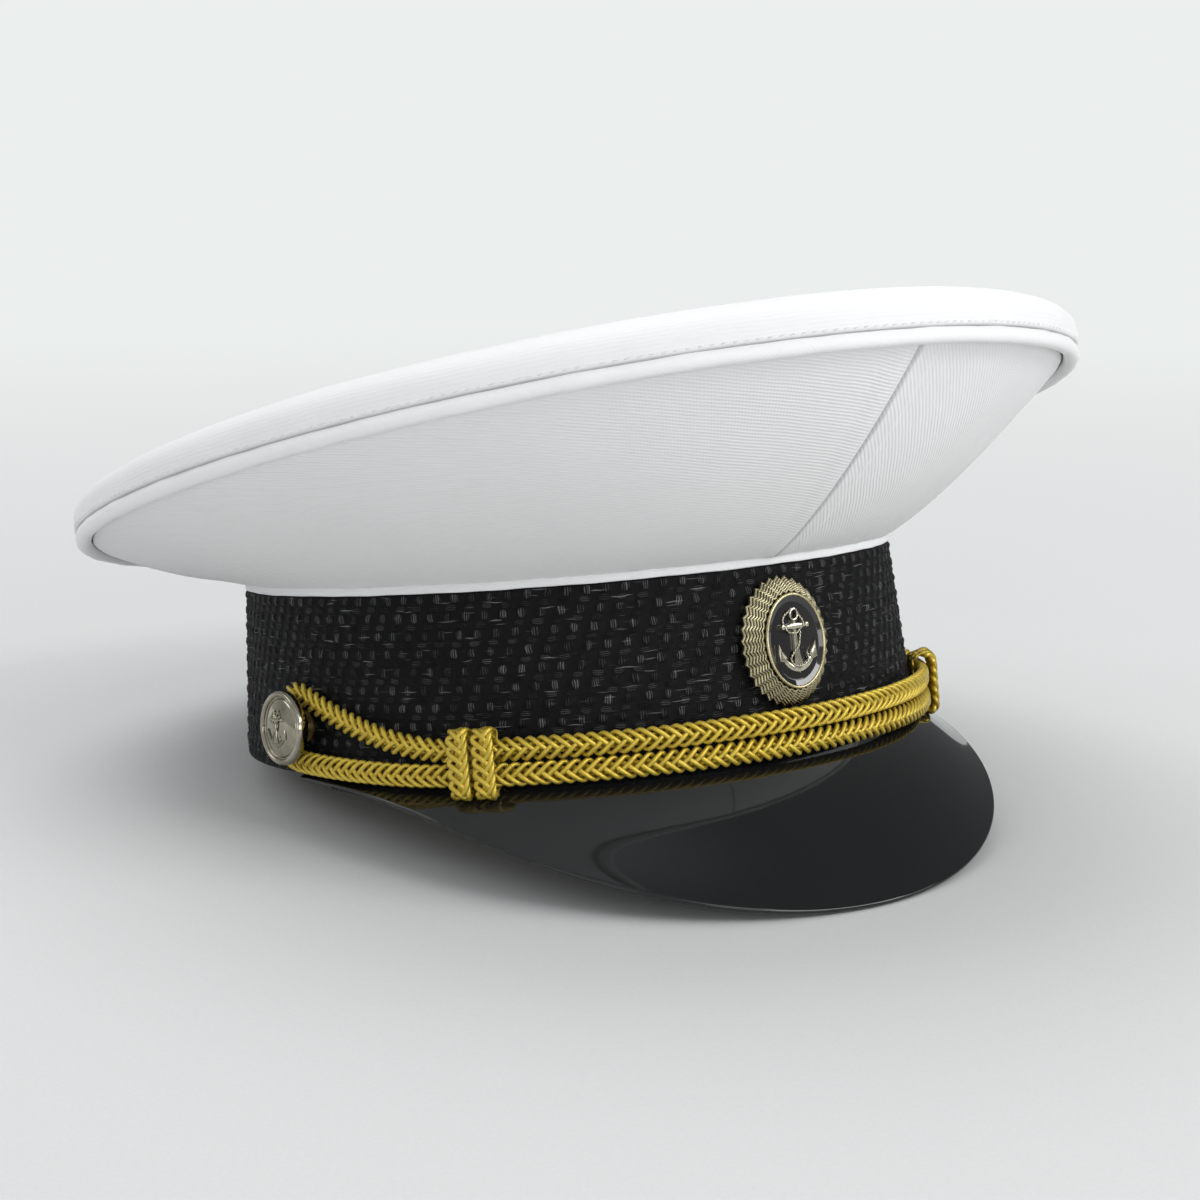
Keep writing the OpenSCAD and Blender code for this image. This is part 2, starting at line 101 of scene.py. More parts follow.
def rad(t): t = np.asarray(t, float); return np.stack([sind(t), -cosd(t), np.zeros_like(t)], -1)


def rim(t, r, z):
    t, r, z = np.broadcast_arrays(np.asarray(t, float), np.asarray(r, float), np.asarray(z, float))
    return np.stack([RIM_B * sind(t), -6.9 - RIM_A * cosd(t), RIM_Z + RIM_K * cosd(t) + z], -1) + r[..., None] * rad(t)


HEM_Z = BAND_H + 2.1


def side(t, s, e):
    t, s, e = np.broadcast_arrays(np.asarray(t, float), np.asarray(s, float), np.asarray(e, float))
    h, q = at(t, -LEAN - 0.1, HEM_Z + 0 * t), rim(t, -3.7, -2.9)
    d, r = unit(q - h), rad(t)
    n = unit(r * d[..., 2:3] - np.array([0, 0, 1.0]) * (d * r).sum(-1, keepdims=True))
    c = cosd(t)
    belly = 1 + np.where(c > 0, 2.0, 3.0) * c * c
    return h + (q - h) * s[..., None] + n * (belly * 4 * np.maximum(s, 0) ** 0.7 * (1 - s) + e)[..., None]


def vedge(t):
    g = np.maximum(0, 1 - (np.asarray(t, float) / VT) ** 2)
    return np.stack([0.4 + (VISOR_OUT - 0.4) * g ** 1.83, -0.9 - (VISOR_DROP - 0.9) * g ** 2.66], -1)


def visor(t, s, e):
    t, s, e = np.broadcast_arrays(np.asarray(t, float), np.asarray(s, float), np.asarray(e, float))
    b, q = np.array([0, -0.9]), vedge(t)
    l = np.linalg.norm(q - b, axis=-1, keepdims=True)
    d = (q - b) / l
    n = np.stack([-d[..., 1], d[..., 0]], -1)
    g = np.maximum(0, 1 - (t / VT) ** 2)
    p = b + (q - b) * s[..., None] + n * (l * (BOW * g * g * 6.75 * s * (1 - s) ** 2)[..., None] - e[..., None])
    return at(t, p[..., 0], p[..., 1])


def on_band(t, z):
    """The place on the band's wall that looks t degrees round from the front: its +Z points out and its +Y up."""
    x, y = oval(t, ln(z))
    m = Matrix.Translation((float(x), float(y), z)) @ Matrix.Rotation(math.radians(t - 90), 4, "Z") @ Matrix.Rotation(PI / 2 - LEAN_A, 4, "Y") @ Matrix.Rotation(PI / 2, 4, "Z")
    return np.array(m)


def place(m, p):
    p = np.asarray(p, float)
    return p @ m[:3, :3].T + m[:3, 3]


def knots(K, closed=False):
    q = np.concatenate([K, K[:1]]) if closed else K
    d = np.linalg.norm(np.diff(q, axis=0), axis=-1)
    return np.concatenate([[0], np.cumsum(d.reshape(len(d), -1).mean(1))])


def spline(K, n=None, closed=False, at_s=None):
    """A smooth curve through K, as n points evenly spaced along it (or at the lengths at_s)."""
    K = np.asarray(K, float)
    T = knots(K, closed)
    if closed:
        X, Y = np.concatenate([K[-1:], K, K[:2]]), np.concatenate([[T[0] - (T[-1] - T[-2])], T, [T[-1] + T[1]]])
    else:
        X, Y = np.concatenate([2 * K[:1] - K[1:2], K, 2 * K[-1:] - K[-2:-1]]), np.concatenate([[2 * T[0] - T[1]], T, [2 * T[-1] - T[-2]]])
    sh = (-1,) + (1,) * (K.ndim - 1)
    m, P = (X[2:] - X[:-2]) / (Y[2:] - Y[:-2]).reshape(sh), X[1:-1]
    s = np.linspace(0, T[-1], n, endpoint=not closed) if at_s is None else np.asarray(at_s, float)
    i = np.clip(np.searchsorted(T, s, "right") - 1, 0, len(T) - 2)
    h = (T[i + 1] - T[i])
    u = ((s - T[i]) / h).reshape(sh); h = h.reshape(sh)
    return (2 * u**3 - 3 * u**2 + 1) * P[i] + (u**3 - 2 * u**2 + u) * h * m[i] + (-2 * u**3 + 3 * u**2) * P[i + 1] + (u**3 - u**2) * h * m[i + 1]


def wob(x, *terms):
    """A fixed, smooth unevenness: a sum of sines given as (strength, waves, phase)."""
    return sum(a * np.sin(w * x + p) for a, w, p in terms)


# ------------------------------------------------------------------ mesh building
class Build:
    def __init__(self):
        self.v, self.f, self.uv, self.m, self.n = [], [], [], [], 0

    def add(self, P):
        P = np.asarray(P, float).reshape(-1, 3)
        self.v.append(P)
        self.n += len(P)
        return self.n - len(P)

    def grid(self, P, wi=False, wj=False, uv=None, mat=0):
        P = np.asarray(P, float)
        ni, nj = P.shape[:2]
        o = self.add(P)
        i, j = np.meshgrid(np.arange(ni if wi else ni - 1), np.arange(nj if wj else nj - 1), indexing="ij")
        i, j = i.ravel(), j.ravel()
        i2, j2 = (i + 1) % ni, (j + 1) % nj
        q = np.stack([i * nj + j, i2 * nj + j, i2 * nj + j2, i * nj + j2], -1) + o
        self.f.extend(q.tolist())
        if uv is None:
            u = np.stack(np.meshgrid(np.arange(ni + 1), np.arange(nj + 1), indexing="ij"), -1) * 0.001
        else:
            u = np.asarray(uv, float)
        c = np.stack([u[i, j], u[i + 1, j], u[i + 1, j + 1], u[i, j + 1]], 1)
        self.uv.append(c.reshape(-1, 2))
        self.m.extend([mat] * len(q))
        return o

    def poly(self, idx, uv=None, mat=0):
        self.f.append(list(idx))
        self.uv.append(np.asarray(uv, float).reshape(-1, 2) if uv is not None else np.zeros((len(idx), 2)))
        self.m.append(mat)

    def fan(self, ring, centre, mat=0, scale=0.001):
        """Closes a loop of vertex numbers onto one new middle point."""
        o = self.add([centre])
        V = np.concatenate(self.v)
        for a, b in zip(ring, list(ring[1:]) + [ring[0]]):
            self.poly([a, b, o], [V[a][:2] * scale, V[b][:2] * scale, V[o][:2] * scale], mat)

    def tube(self, C, r, n=8, closed=False, ref=None, mat=0, ends=True, vs=1.0):
        """A round tube along C. r is one radius or one for each point."""
        C = np.asarray(C, float)
        r = np.broadcast_to(np.asarray(r, float), (len(C),))
        T = unit(np.roll(C, -1, 0) - np.roll(C, 1, 0)) if closed else unit(np.gradient(C, axis=0))
        if ref is None:
            R = np.zeros_like(C)
            v = np.array([0.0, 0.0, 1.0]) if abs(T[0][2]) < 0.8 else np.array([1.0, 0.0, 0.0])
            for k in range(len(C)):
                v = v - T[k] * (v @ T[k]); v = v / np.linalg.norm(v); R[k] = v
        else:
            R = unit(ref - T * (ref * T).sum(-1, keepdims=True))
        S = np.cross(T, R)
        a = np.arange(n) * 2 * PI / n
        P = C[:, None] + (R[:, None] * np.cos(a)[None, :, None] + S[:, None] * np.sin(a)[None, :, None]) * r[:, None, None]
        L = np.concatenate([[0], np.cumsum(np.linalg.norm(np.diff(np.concatenate([C, C[:1]]), axis=0), axis=1))])
        uv = np.stack(np.meshgrid(L * 0.001, np.arange(n + 1) / n * vs, indexing="ij"), -1)
        o = self.grid(P, closed, True, uv, mat)
        if not closed and ends:
            m = len(C)
            for k, sgn in ((0, -1), (m - 1, 1)):
                c = self.add([C[k] + T[k] * sgn * r[k] * 0.5])
                for j in range(n):
                    a_, b_ = o + k * n + j, o + k * n + (j + 1) % n
                    self.poly([b_, a_, c] if sgn < 0 else [a_, b_, c], None, mat)
        return o

    def obj(self, name, mats, body="cap", slot=None, reps=(), sharp=None, merge=0.0):
        V = np.concatenate(self.v)
        V = W(V)
        me = bpy.data.meshes.new(name)
        me.from_pydata(V.tolist(), [], self.f)
        lay = me.uv_layers.new(name="UVMap")
        lay.data.foreach_set("uv", np.concatenate(self.uv).astype(np.float32).ravel())
        for m in mats:
            me.materials.append(m)
        me.polygons.foreach_set("material_index", np.array(self.m, np.int32))
        me.polygons.foreach_set("use_smooth", np.ones(len(me.polygons), bool))
        bm = bmesh.new(); bm.from_mesh(me)
        if merge:
            bmesh.ops.remove_doubles(bm, verts=bm.verts[:], dist=merge)
        bmesh.ops.recalc_face_normals(bm, faces=bm.faces[:])
        bm.to_mesh(me); bm.free()
        me.update()
        if sharp:
            me.set_sharp_from_angle(angle=math.radians(sharp))
        o = bpy.data.objects.new(name, me)
        bpy.context.scene.collection.objects.link(o)
        if body:
            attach(o, body)
        if reps:
            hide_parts(*reps)
        return o


def loft(b, rows, ring=False, uv=None, mat=0):
    """Closed cross-sections joined along a path; open ends are closed with strips."""
    rows = np.asarray(rows, float)
    m, n = rows.shape[:2]
    o = b.grid(rows, ring, True, uv, mat)
    if not ring:
        for k, flip in ((0, False), (m - 1, True)):
            for j in range(n // 2 - 1):
                q = [o + k * n + j, o + k * n + j + 1, o + k * n + n - 2 - j, o + k * n + n - 1 - j]
                b.poly(q[::-1] if flip else q, None, mat)
    return o


def lathe(b, m, prof, n=96, mat=0, a=1.0, bb=1.0):
    """Turns a profile of (radius, height) about +Z of the place m. Its first and last radius may be 0."""
    prof = np.asarray(prof, float)
    t = np.arange(n) * 2 * PI / n
    P = np.stack([prof[None, :, 0] * np.cos(t)[:, None] * a, prof[None, :, 0] * np.sin(t)[:, None] * bb, np.broadcast_to(prof[None, :, 1], (n, len(prof)))], -1)
    return b.grid(place(m, P), True, False, np.stack(np.meshgrid(np.arange(n + 1) / n * 0.06, knots(prof) * 0.001, indexing="ij"), -1), mat)


# ------------------------------------------------------------------ materials
CELL, ROW, STEP = 5.1, 2.3, 1.0  # the band cloth: knot to knot round the band, row to row, sideways step of each row


class Mat:
    def __init__(self, name, colour=(0.8, 0.8, 0.8), rough=0.5, metal=0.0, **sockets):
        self.m = bpy.data.materials.new(name)
        self.m.use_nodes = True
        self.nt = self.m.node_tree
        self.bsdf = self.nt.nodes["Principled BSDF"]
        self.set("Base Color", (*colour, 1)); self.set("Roughness", rough); self.set("Metallic", metal)
        for k, v in sockets.items():
            self.set(k.replace("_", " "), v)
        self.uv = None

    def set(self, name, v):
        s = self.bsdf.inputs[name]
        if hasattr(v, "links"):
            self.nt.links.new(v, s)
        else:
            s.default_value = v

    def node(self, kind, ins=None, out=0, **props):
        n = self.nt.nodes.new("ShaderNode" + kind)
        for k, v in props.items():
            setattr(n, k, v)
        for k, v in (ins or {}).items():
            s = n.inputs[k]
            if hasattr(v, "links"):
                self.nt.links.new(v, s)
            else:
                s.default_value = v
        return n.outputs[out]

    def math(self, op, a, b=0.0, c=None):
        ins = {0: a, 1: b}
        if c is not None:
            ins[2] = c
        return self.node("Math", ins, operation=op)

    def coords(self, kind="UV"):
        if kind == "UV":
            return self.node("UVMap", uv_map="UVMap")
        return self.nt_coord(kind)

    def nt_coord(self, kind):
        n = self.nt.nodes.new("ShaderNodeTexCoord")
        return n.outputs[kind]

    def xyz(self, v):
        n = self.nt.nodes.new("ShaderNodeSeparateXYZ")
        self.nt.links.new(v, n.inputs[0])
        return n.outputs

    def combine(self, x=0.0, y=0.0, z=0.0):
        return self.node("CombineXYZ", {0: x, 1: y, 2: z})

    def noise(self, vec, scale, detail=2.0, rough=0.5, out=0):
        return self.node("TexNoise", {"Vector": vec, "Scale": scale, "Detail": detail, "Roughness": rough}, out)

    def ramp(self, fac, stops, mode="LINEAR"):
        n = self.nt.nodes.new("ShaderNodeValToRGB")
        self.nt.links.new(fac, n.inputs[0])
        r = n.color_ramp
        r.interpolation = mode
        while len(r.elements) < len(stops):
            r.elements.new(0.5)
        for e, (p, c) in zip(r.elements, stops):
            e.position = p
            e.color = (*c, 1) if len(c) == 3 else c
        return n.outputs[0]

    def map(self, v, a0, a1, b0, b1, clamp=True):
        return self.node("MapRange", {0: v, 1: a0, 2: a1, 3: b0, 4: b1}, clamp=clamp)

    def mix(self, f, a, b):
        n = self.nt.nodes.new("ShaderNodeMix")
        n.data_type = "RGBA"
        for k, v in ((0, f), (6, a), (7, b)):
            if hasattr(v, "links"):
                self.nt.links.new(v, n.inputs[k])
            else:
                n.inputs[k].default_value = v if k == 0 else (*v, 1)
        return n.outputs[2]

    def bump(self, height, strength, dist, normal=None):
        ins = {"Strength": strength, "Distance": dist, "Height": height}
        if normal is not None:
            ins["Normal"] = normal
        return self.node("Bump", ins)


def mat_cloth(name, period=0.00098, angle=0.0, colour=(0.86, 0.865, 0.87), depth=0.0003, strength=0.3, crease=False, rib_trough_shade=0.4, edge=False):
    """Fine white twill. Its ribs run along U, turned by angle, with a yarn-scale unevenness."""
    k = Mat(name, colour, 0.82, Sheen_Weight=0.12, Sheen_Roughness=0.4, Specular_IOR_Level=0.25)
    uv = k.xyz(k.coords())
    ca, sa = math.cos(angle), math.sin(angle)
    v = k.math("SUBTRACT", k.math("MULTIPLY", uv[1], ca), k.math("MULTIPLY", uv[0], sa))
    u = k.math("ADD", k.math("MULTIPLY", uv[0], ca), k.math("MULTIPLY", uv[1], sa))
    obj = k.coords("Object")
    warp = k.noise(obj, 55.0, 2.0)
    v2 = k.math("ADD", v, k.math("MULTIPLY", warp, 0.0011))
    rib = k.math("SINE", k.math("MULTIPLY", v2, 2 * PI / period))
    cross = k.math("SINE", k.math("ADD", k.math("MULTIPLY", u, 2 * PI / (period * 0.8)), k.math("MULTIPLY", v2, PI / period)))
    yarn = k.noise(k.combine(k.math("MULTIPLY", u, 260.0), k.math("MULTIPLY", v2, 2600.0)), 1.0, 2.0)
    h = k.math("ADD", k.math("ADD", k.math("MULTIPLY", rib, 0.6), k.math("MULTIPLY", cross, 0.05)), k.math("MULTIPLY", yarn, 0.7))
    soft = k.noise(obj, 38.0, 3.0)
    b1 = k.bump(soft, 0.18, 0.0006)
    k.set("Normal", k.bump(h, strength, depth, b1))
    tone = k.noise(obj, 14.0, 3.0)
    lo = tuple(c * 0.965 for c in colour)
    base = k.mix(k.map(tone, 0.3, 0.7, 0.0, 1.0), lo, colour)
    line = k.map(yarn, 0.3, 0.75, 0.0, 1.0)
    base = k.mix(k.math("MULTIPLY", line, 0.35), base, tuple(c * 0.9 for c in colour))
    # painted shade: the troughs of the twill ribs are painted darker
    base = k.mix(k.map(rib, -1.0, 0.2, rib_trough_shade, 0.0), base, tuple(c * 0.9 for c in colour))
    if crease:  # painted shade: a thin strip of the cloth is painted darker where it runs into the front seam, under the lap
        base = k.mix(k.map(uv[0], 0.0009, 0.0019, 0.5, 0.0), base, tuple(c * 0.45 for c in colour))
    if edge:  # painted shade: and painted darker where the rolled edge turns in above the piping
        base = k.mix(k.map(uv[1], 0.0003, 0.00125, 0.75, 0.0), base, tuple(c * 0.4 for c in colour))
    k.set("Base Color", base)
    k.set("Roughness", k.map(tone, 0.3, 0.7, 0.78, 0.9))
    return k.m


def mat_thread(name, colour, rough=0.6):
    k = Mat(name, colour, rough, Sheen_Weight=0.1)
    uv = k.xyz(k.coords())
    tw = k.math("SINE", k.math("ADD", k.math("MULTIPLY", uv[0], 2 * PI / 0.0006), k.math("MULTIPLY", uv[1], 2 * PI)))
    k.set("Normal", k.bump(tw, 0.5, 0.00008))
    n = k.noise(k.coords("Object"), 300.0, 2.0)
    k.set("Base Color", k.mix(k.map(n, 0.3, 0.7, 0, 1), tuple(c * 0.86 for c in colour), colour))
    return k.m


def mat_weave():
    """Coarse black band cloth: knots of upright threads in slanting rows, with crosswise knots between them, over a
    matt ground, and odd light crosswise threads. The upright knots are painted light along their threads as a painted
    highlight, the crosswise knots with a weaker one."""
    k = Mat("band_weave", (0.008, 0.008, 0.009), 0.55, Specular_IOR_Level=0.14)
    uv = k.coords()
    wx = k.xyz(k.node("TexNoise", {"Vector": uv, "Scale": 210.0, "Detail": 2.0}, out=1))
    c = k.xyz(uv)
    a = k.math("ADD", c[0], k.math("MULTIPLY", k.math("SUBTRACT", wx[0], 0.5), 0.0014))
    z = k.math("ADD", c[1], k.math("MULTIPLY", k.math("SUBTRACT", wx[1], 0.5), 0.0011))
    row = k.math("FLOOR", k.math("ADD", k.math("DIVIDE", z, ROW * .001), 0.5))
    X = k.math("DIVIDE", k.math("SUBTRACT", a, k.math("MULTIPLY", row, STEP * .001)), CELL * .001)
    col = k.math("FLOOR", k.math("ADD", X, 0.5))
    dx = k.math("MULTIPLY", k.math("SUBTRACT", X, col), CELL)
    dz = k.math("SUBTRACT", k.math("MULTIPLY", z, 1000.0), k.math("MULTIPLY", row, ROW))
    even = k.math("LESS_THAN", k.math("MULTIPLY", k.math("FRACT", k.math("MULTIPLY", k.math("ADD", row, 0.01), 0.5)), 2.0), 0.9)

    def knot(w, h, e):
        p = [k.math("POWER", k.math("ABSOLUTE", k.math("DIVIDE", v, q)), e) for v, q in ((dx, w), (dz, h))]
        return k.map(k.math("ADD", p[0], p[1]), 0.45, 1.15, 1.0, 0.0)
    up = k.math("MULTIPLY", knot(1.05, 1.2, 2.8), even)
    dn = k.math("MULTIPLY", knot(1.5, .8, 2.6), k.math("SUBTRACT", 1.0, even))
    tv = k.math("ABSOLUTE", k.math("SINE", k.math("MULTIPLY", a, PI / 0.00062)))
    th = k.math("ABSOLUTE", k.math("SINE", k.math("MULTIPLY", z, PI / 0.00050)))
    rnd = k.node("TexWhiteNoise", {"Vector": k.combine(col, row)}, noise_dimensions="2D")
    yarn = k.noise(k.combine(k.math("MULTIPLY", a, 1500.0), k.math("MULTIPLY", z, 260.0)), 1.0, 1.0)
    # painted highlight: the upright knots (glint) and, more weakly, the crosswise knots (dull) are painted lighter
    # along their threads
    glint = k.math("MULTIPLY", k.math("MULTIPLY", up, k.math("POWER", tv, 1.4)), k.math("MULTIPLY", k.map(rnd, 0.0, 1.0, 0.3, 1.0), k.map(yarn, 0.3, 0.65, 0.25, 1.0)))
    dull = k.math("MULTIPLY", k.math("MULTIPLY", dn, th), k.map(rnd, 0.0, 1.0, 0.1, 0.42))
    streak = k.noise(k.combine(k.math("MULTIPLY", a, 150.0), k.math("MULTIPLY", z, 2300.0)), 1.0, 0.0)
    light = k.map(streak, 0.73, 0.82, 0.0, 1.0)
    ground = k.math("MULTIPLY", k.math("MULTIPLY", tv, th), k.map(k.noise(uv, 420.0, 1.0), 0.4, 0.7, 0.0, 0.12))
    f = k.math("MINIMUM", k.math("ADD", k.math("ADD", glint, dull), k.math("ADD", ground, k.math("MULTIPLY", light, 0.9))), 1.0)
    # the top of this ramp is the colour of the painted highlight on the knots and of the light crosswise threads
    k.set("Base Color", k.ramp(f, [(0.0, (0.003, 0.003, 0.0033)), (0.15, (0.0062, 0.0062, 0.0066)), (1.0, (0.15, 0.15, 0.152))]))
    h = k.math("ADD", k.math("MULTIPLY", k.math("ADD", up, 0.3), tv), k.math("MULTIPLY", k.math("ADD", dn, 0.2), th))
    k.set("Normal", k.bump(h, 0.8, 0.00025))
    k.set("Roughness", k.map(f, 0.0, 1.0, 0.66, 0.42))
    return k.m


def mat_gold():
    """Gold wire cord: each strand is wound from fine wire."""
    k = Mat("cord_gold", (0.62, 0.45, 0.045), 0.34, 0.62, Specular_IOR_Level=0.5, Coat_Weight=0.25, Coat_Roughness=0.2)
    uv = k.xyz(k.coords())
    tw = k.math("SINE", k.math("ADD", k.math("MULTIPLY", uv[0], 2 * PI / 0.00052), k.math("MULTIPLY", uv[1], 2 * PI)))
    k.set("Normal", k.bump(tw, 0.32, 0.00006))
    obj = k.coords("Object")
    n = k.noise(obj, 420.0, 2.0)
    big = k.noise(obj, 45.0, 2.0)
    base = k.mix(k.map(n, 0.3, 0.7, 0, 1), (0.50, 0.35, 0.03), (0.72, 0.54, 0.065))
    k.set("Base Color", k.mix(k.map(big, 0.3, 0.7, 0.0, 0.5), base, (0.58, 0.44, 0.06)))
    k.set("Roughness", k.map(n, 0.3, 0.7, 0.28, 0.44))
    return k.m


def mat_metal(name, colour, rough, dark, grain=900.0, bump=0.05, coat=0.0):
    """Plated metal: fine polishing grain, a little tarnish in patches."""
    k = Mat(name, colour, rough, 1.0, Coat_Weight=coat, Coat_Roughness=0.08)
    obj = k.coords("Object")
    n, t = k.noise(obj, grain, 3.0), k.noise(obj, 160.0, 4.0)
    k.set("Base Color", k.mix(k.map(t, 0.35, 0.7, 0.0, 1.0), colour, dark))
    k.set("Roughness", k.map(n, 0.3, 0.7, rough * 0.75, rough * 1.35))
    k.set("Normal", k.bump(n, bump, 0.00005))
    return k.m


def mat_ridge(name, colour, dark):
    """Struck metal with painted shade in its grooves: the grooves are painted darker and made rougher than the ridges.
    V counts the ridges.
    """
    k = Mat(name, colour, 0.3, 1.0)
    uv, obj = k.xyz(k.coords()), k.coords("Object")
    ph = k.math("FRACT", uv[1])
    # painted shade: the grooves between the ridges are painted darker
    shaded_groove = k.math("MAXIMUM", k.map(ph, 0.0, 0.3, 1.0, 0.0), k.map(ph, 0.86, 1.0, 0.0, 1.0))
    n = k.noise(obj, 500.0, 3.0)
    k.set("Base Color", k.mix(k.math("MULTIPLY", shaded_groove, k.map(n, 0.3, 0.7, 0.6, 0.95)), colour, dark))
    k.set("Roughness", k.math("ADD", k.math("MULTIPLY", shaded_groove, 0.22), k.map(n, 0.3, 0.7, 0.2, 0.32)))
    k.set("Normal", k.bump(n, 0.1, 0.00005))
    return k.m


def mat_gloss(name, colour, rough, peel=90.0, level=0.5):
    """Patent finish with a faint orange peel and a few dust specks."""
    k = Mat(name, colour, rough, Specular_IOR_Level=level, Coat_Weight=0.0)
    obj = k.coords("Object")
    n, s = k.noise(obj, peel, 2.0), k.noise(obj, 1900.0, 1.0)
    speck = k.map(s, 0.8, 0.86, 0.0, 1.0)
    k.set("Base Color", k.mix(k.math("MULTIPLY", speck, 0.6), colour, (0.14, 0.14, 0.14)))
    k.set("Roughness", k.math("ADD", k.map(k.noise(obj, 30.0, 3.0), 0.3, 0.7, rough * 0.7, rough * 1.5), k.math("MULTIPLY", speck, 0.3)))
    k.set("Normal", k.bump(n, 0.06, 0.0003))
    return k.m


def mat_leather(name, colour, scale=900.0, rough=0.5, depth=0.0002, strength=0.6):
    k = Mat(name, colour, rough, Specular_IOR_Level=0.4)
    obj = k.coords("Object")
    v = k.node("TexVoronoi", {"Vector": obj, "Scale": scale}, 0, feature="DISTANCE_TO_EDGE")
    n = k.noise(obj, scale * 0.25, 4.0)
    crease = k.noise(obj, 60.0, 5.0, 0.6)
    h = k.math("ADD", k.map(v, 0.0, 0.18, 0.0, 1.0), k.math("MULTIPLY", n, 0.6))
    k.set("Normal", k.bump(h, strength, depth, k.bump(crease, 0.25, 0.0012)))
    k.set("Base Color", k.mix(k.map(crease, 0.35, 0.68, 0.0, 1.0), tuple(c * 0.72 for c in colour), tuple(min(1, c * 1.12) for c in colour)))
    k.set("Roughness", k.map(n, 0.3, 0.7, rough * 0.85, min(1, rough * 1.25)))
    return k.m


def mat_satin(name, colour):
    k = Mat(name, colour, 0.38, Specular_IOR_Level=0.5, Sheen_Weight=0.25, Sheen_Roughness=0.3, Anisotropic=0.5)
    uv = k.xyz(k.coords())
    y = k.noise(k.combine(k.math("MULTIPLY", uv[0], 3000.0), k.math("MULTIPLY", uv[1], 240.0)), 1.0, 2.0)
    f = k.noise(k.coords("Object"), 24.0, 3.0)
    k.set("Normal", k.bump(y, 0.25, 0.00007, k.bump(f, 0.3, 0.0018)))
    k.set("Base Color", k.mix(k.map(f, 0.3, 0.7, 0, 1), tuple(c * 0.9 for c in colour), colour))
    k.set("Roughness", k.map(y, 0.3, 0.7, 0.32, 0.5))
    return k.m


def mat_board(name, colour, colour2, scale=500.0, rough=0.85):
    k = Mat(name, colour, rough)
    obj = k.coords("Object")
    n, f = k.noise(obj, scale, 4.0), k.noise(obj, scale * 0.12, 3.0)
    k.set("Base Color", k.mix(k.map(n, 0.3, 0.7, 0, 1), colour, colour2))
    k.set("Normal", k.bump(n, 0.4, 0.00015))
    k.set("Roughness", k.map(f, 0.3, 0.7, rough * 0.9, min(1, rough * 1.1)))
    return k.m


cloth_r = mat_cloth("crown_cloth_right", angle=-0.22)
# the left panel's cloth gets a painted shade line along the front seam
cloth_l = mat_cloth("crown_cloth_left", angle=2.2, crease=True)
cloth_b = mat_cloth("crown_cloth_rear", angle=0.3)
# the top panel's cloth gets painted shade where its rolled edge turns in above the piping
cloth_t = mat_cloth("crown_cloth_top", angle=0.0, strength=0.14, rib_trough_shade=0.12, edge=True)
cloth_p = mat_cloth("piping_cloth", period=0.0008, angle=0.78, colour=(0.87, 0.872, 0.875), strength=0.07, rib_trough_shade=0.14)
cloth_h = mat_cloth("hem_tape", period=0.0005, angle=0.0, colour=(0.87, 0.875, 0.88))
thread_w = mat_thread("white_thread", (0.84, 0.84, 0.84))
thread_b = mat_thread("brown_thread", (0.16, 0.09, 0.045))
weave = mat_weave()
gold = mat_gold()
nickel = mat_metal("button_nickel", (0.42, 0.388, 0.31), 0.12, (0.22, 0.205, 0.155), 700.0, 0.12)
badge_gold = mat_metal("badge_gold", (0.62, 0.56, 0.34), 0.25, (0.48, 0.42, 0.24), 900.0, 0.1)
# its second colour is the painted shade in the starburst's grooves
badge_ridge = mat_ridge("badge_gold_ridged", (0.37, 0.336, 0.215), (0.12, 0.102, 0.053))
badge_silver = mat_metal("badge_silver", (0.56, 0.53, 0.43), 0.17, (0.40, 0.37, 0.28), 900.0, 0.08)
brass = mat_metal("eyelet_brass", (0.62, 0.45, 0.16), 0.32, (0.36, 0.25, 0.1))
steel = mat_metal("plated_steel", (0.6, 0.6, 0.6), 0.35, (0.42, 0.41, 0.4))
enamel = mat_gloss("badge_enamel", (0.011, 0.010, 0.010), 0.045, 60.0, 0.8)
patent = mat_gloss("visor_gloss", (0.0065, 0.007, 0.0072), 0.045, 70.0, 0.52)
under = mat_leather("visor_under", (0.012, 0.016, 0.014), 1100.0, 0.45)
leather = mat_leather("sweat_leather", (0.30, 0.155, 0.07), 1000.0, 0.48)
satin = mat_satin("lining_satin", (0.72, 0.70, 0.62))
board = mat_board("fibreboard", (0.30, 0.2, 0.11), (0.42, 0.3, 0.18))
plastic_w = mat_board("grommet_plastic", (0.7, 0.7, 0.66), (0.78, 0.78, 0.75), 900.0, 0.5)
plastic_d = mat_board("stay_plastic", (0.06, 0.06, 0.065), (0.09, 0.09, 0.095), 900.0, 0.5)
reed_cloth = mat_board("reed_cloth", (0.05, 0.035, 0.022), (0.09, 0.065, 0.04), 1500.0, 0.9)
film = Mat("shield_film", (0.78, 0.86, 0.88), 0.12, Alpha=0.42, Specular_IOR_Level=0.6)
_n = film.noise(film.coords("Object"), 45.0, 3.0)
film.set("Normal", film.bump(_n, 0.35, 0.0015))
film.set("Roughness", film.map(_n, 0.3, 0.7, 0.08, 0.22))
film = film.m

# ------------------------------------------------------------------ crown
CAP = "cap"
stitches = Build()


def stitch(b, C, N, r=0.2, sides=6):
    """One raised stitch along the points C, sunk at its ends."""
    u = np.linspace(-1, 1, len(C))
    lift = (1 - u**2)[:, None] * N * r * 1.2 - N * r * 0.55
    b.tube(C + lift, r * np.sqrt(np.maximum(0.12, 1 - np.abs(u) ** 3)), sides)


def flat_uv(P):
    """A map of a closed grid taken straight down, in metres."""
    Q = np.concatenate([P, P[:1]])
    return np.concatenate([Q, Q[:, -1:]], 1)[..., :2] * .001 + 2.0


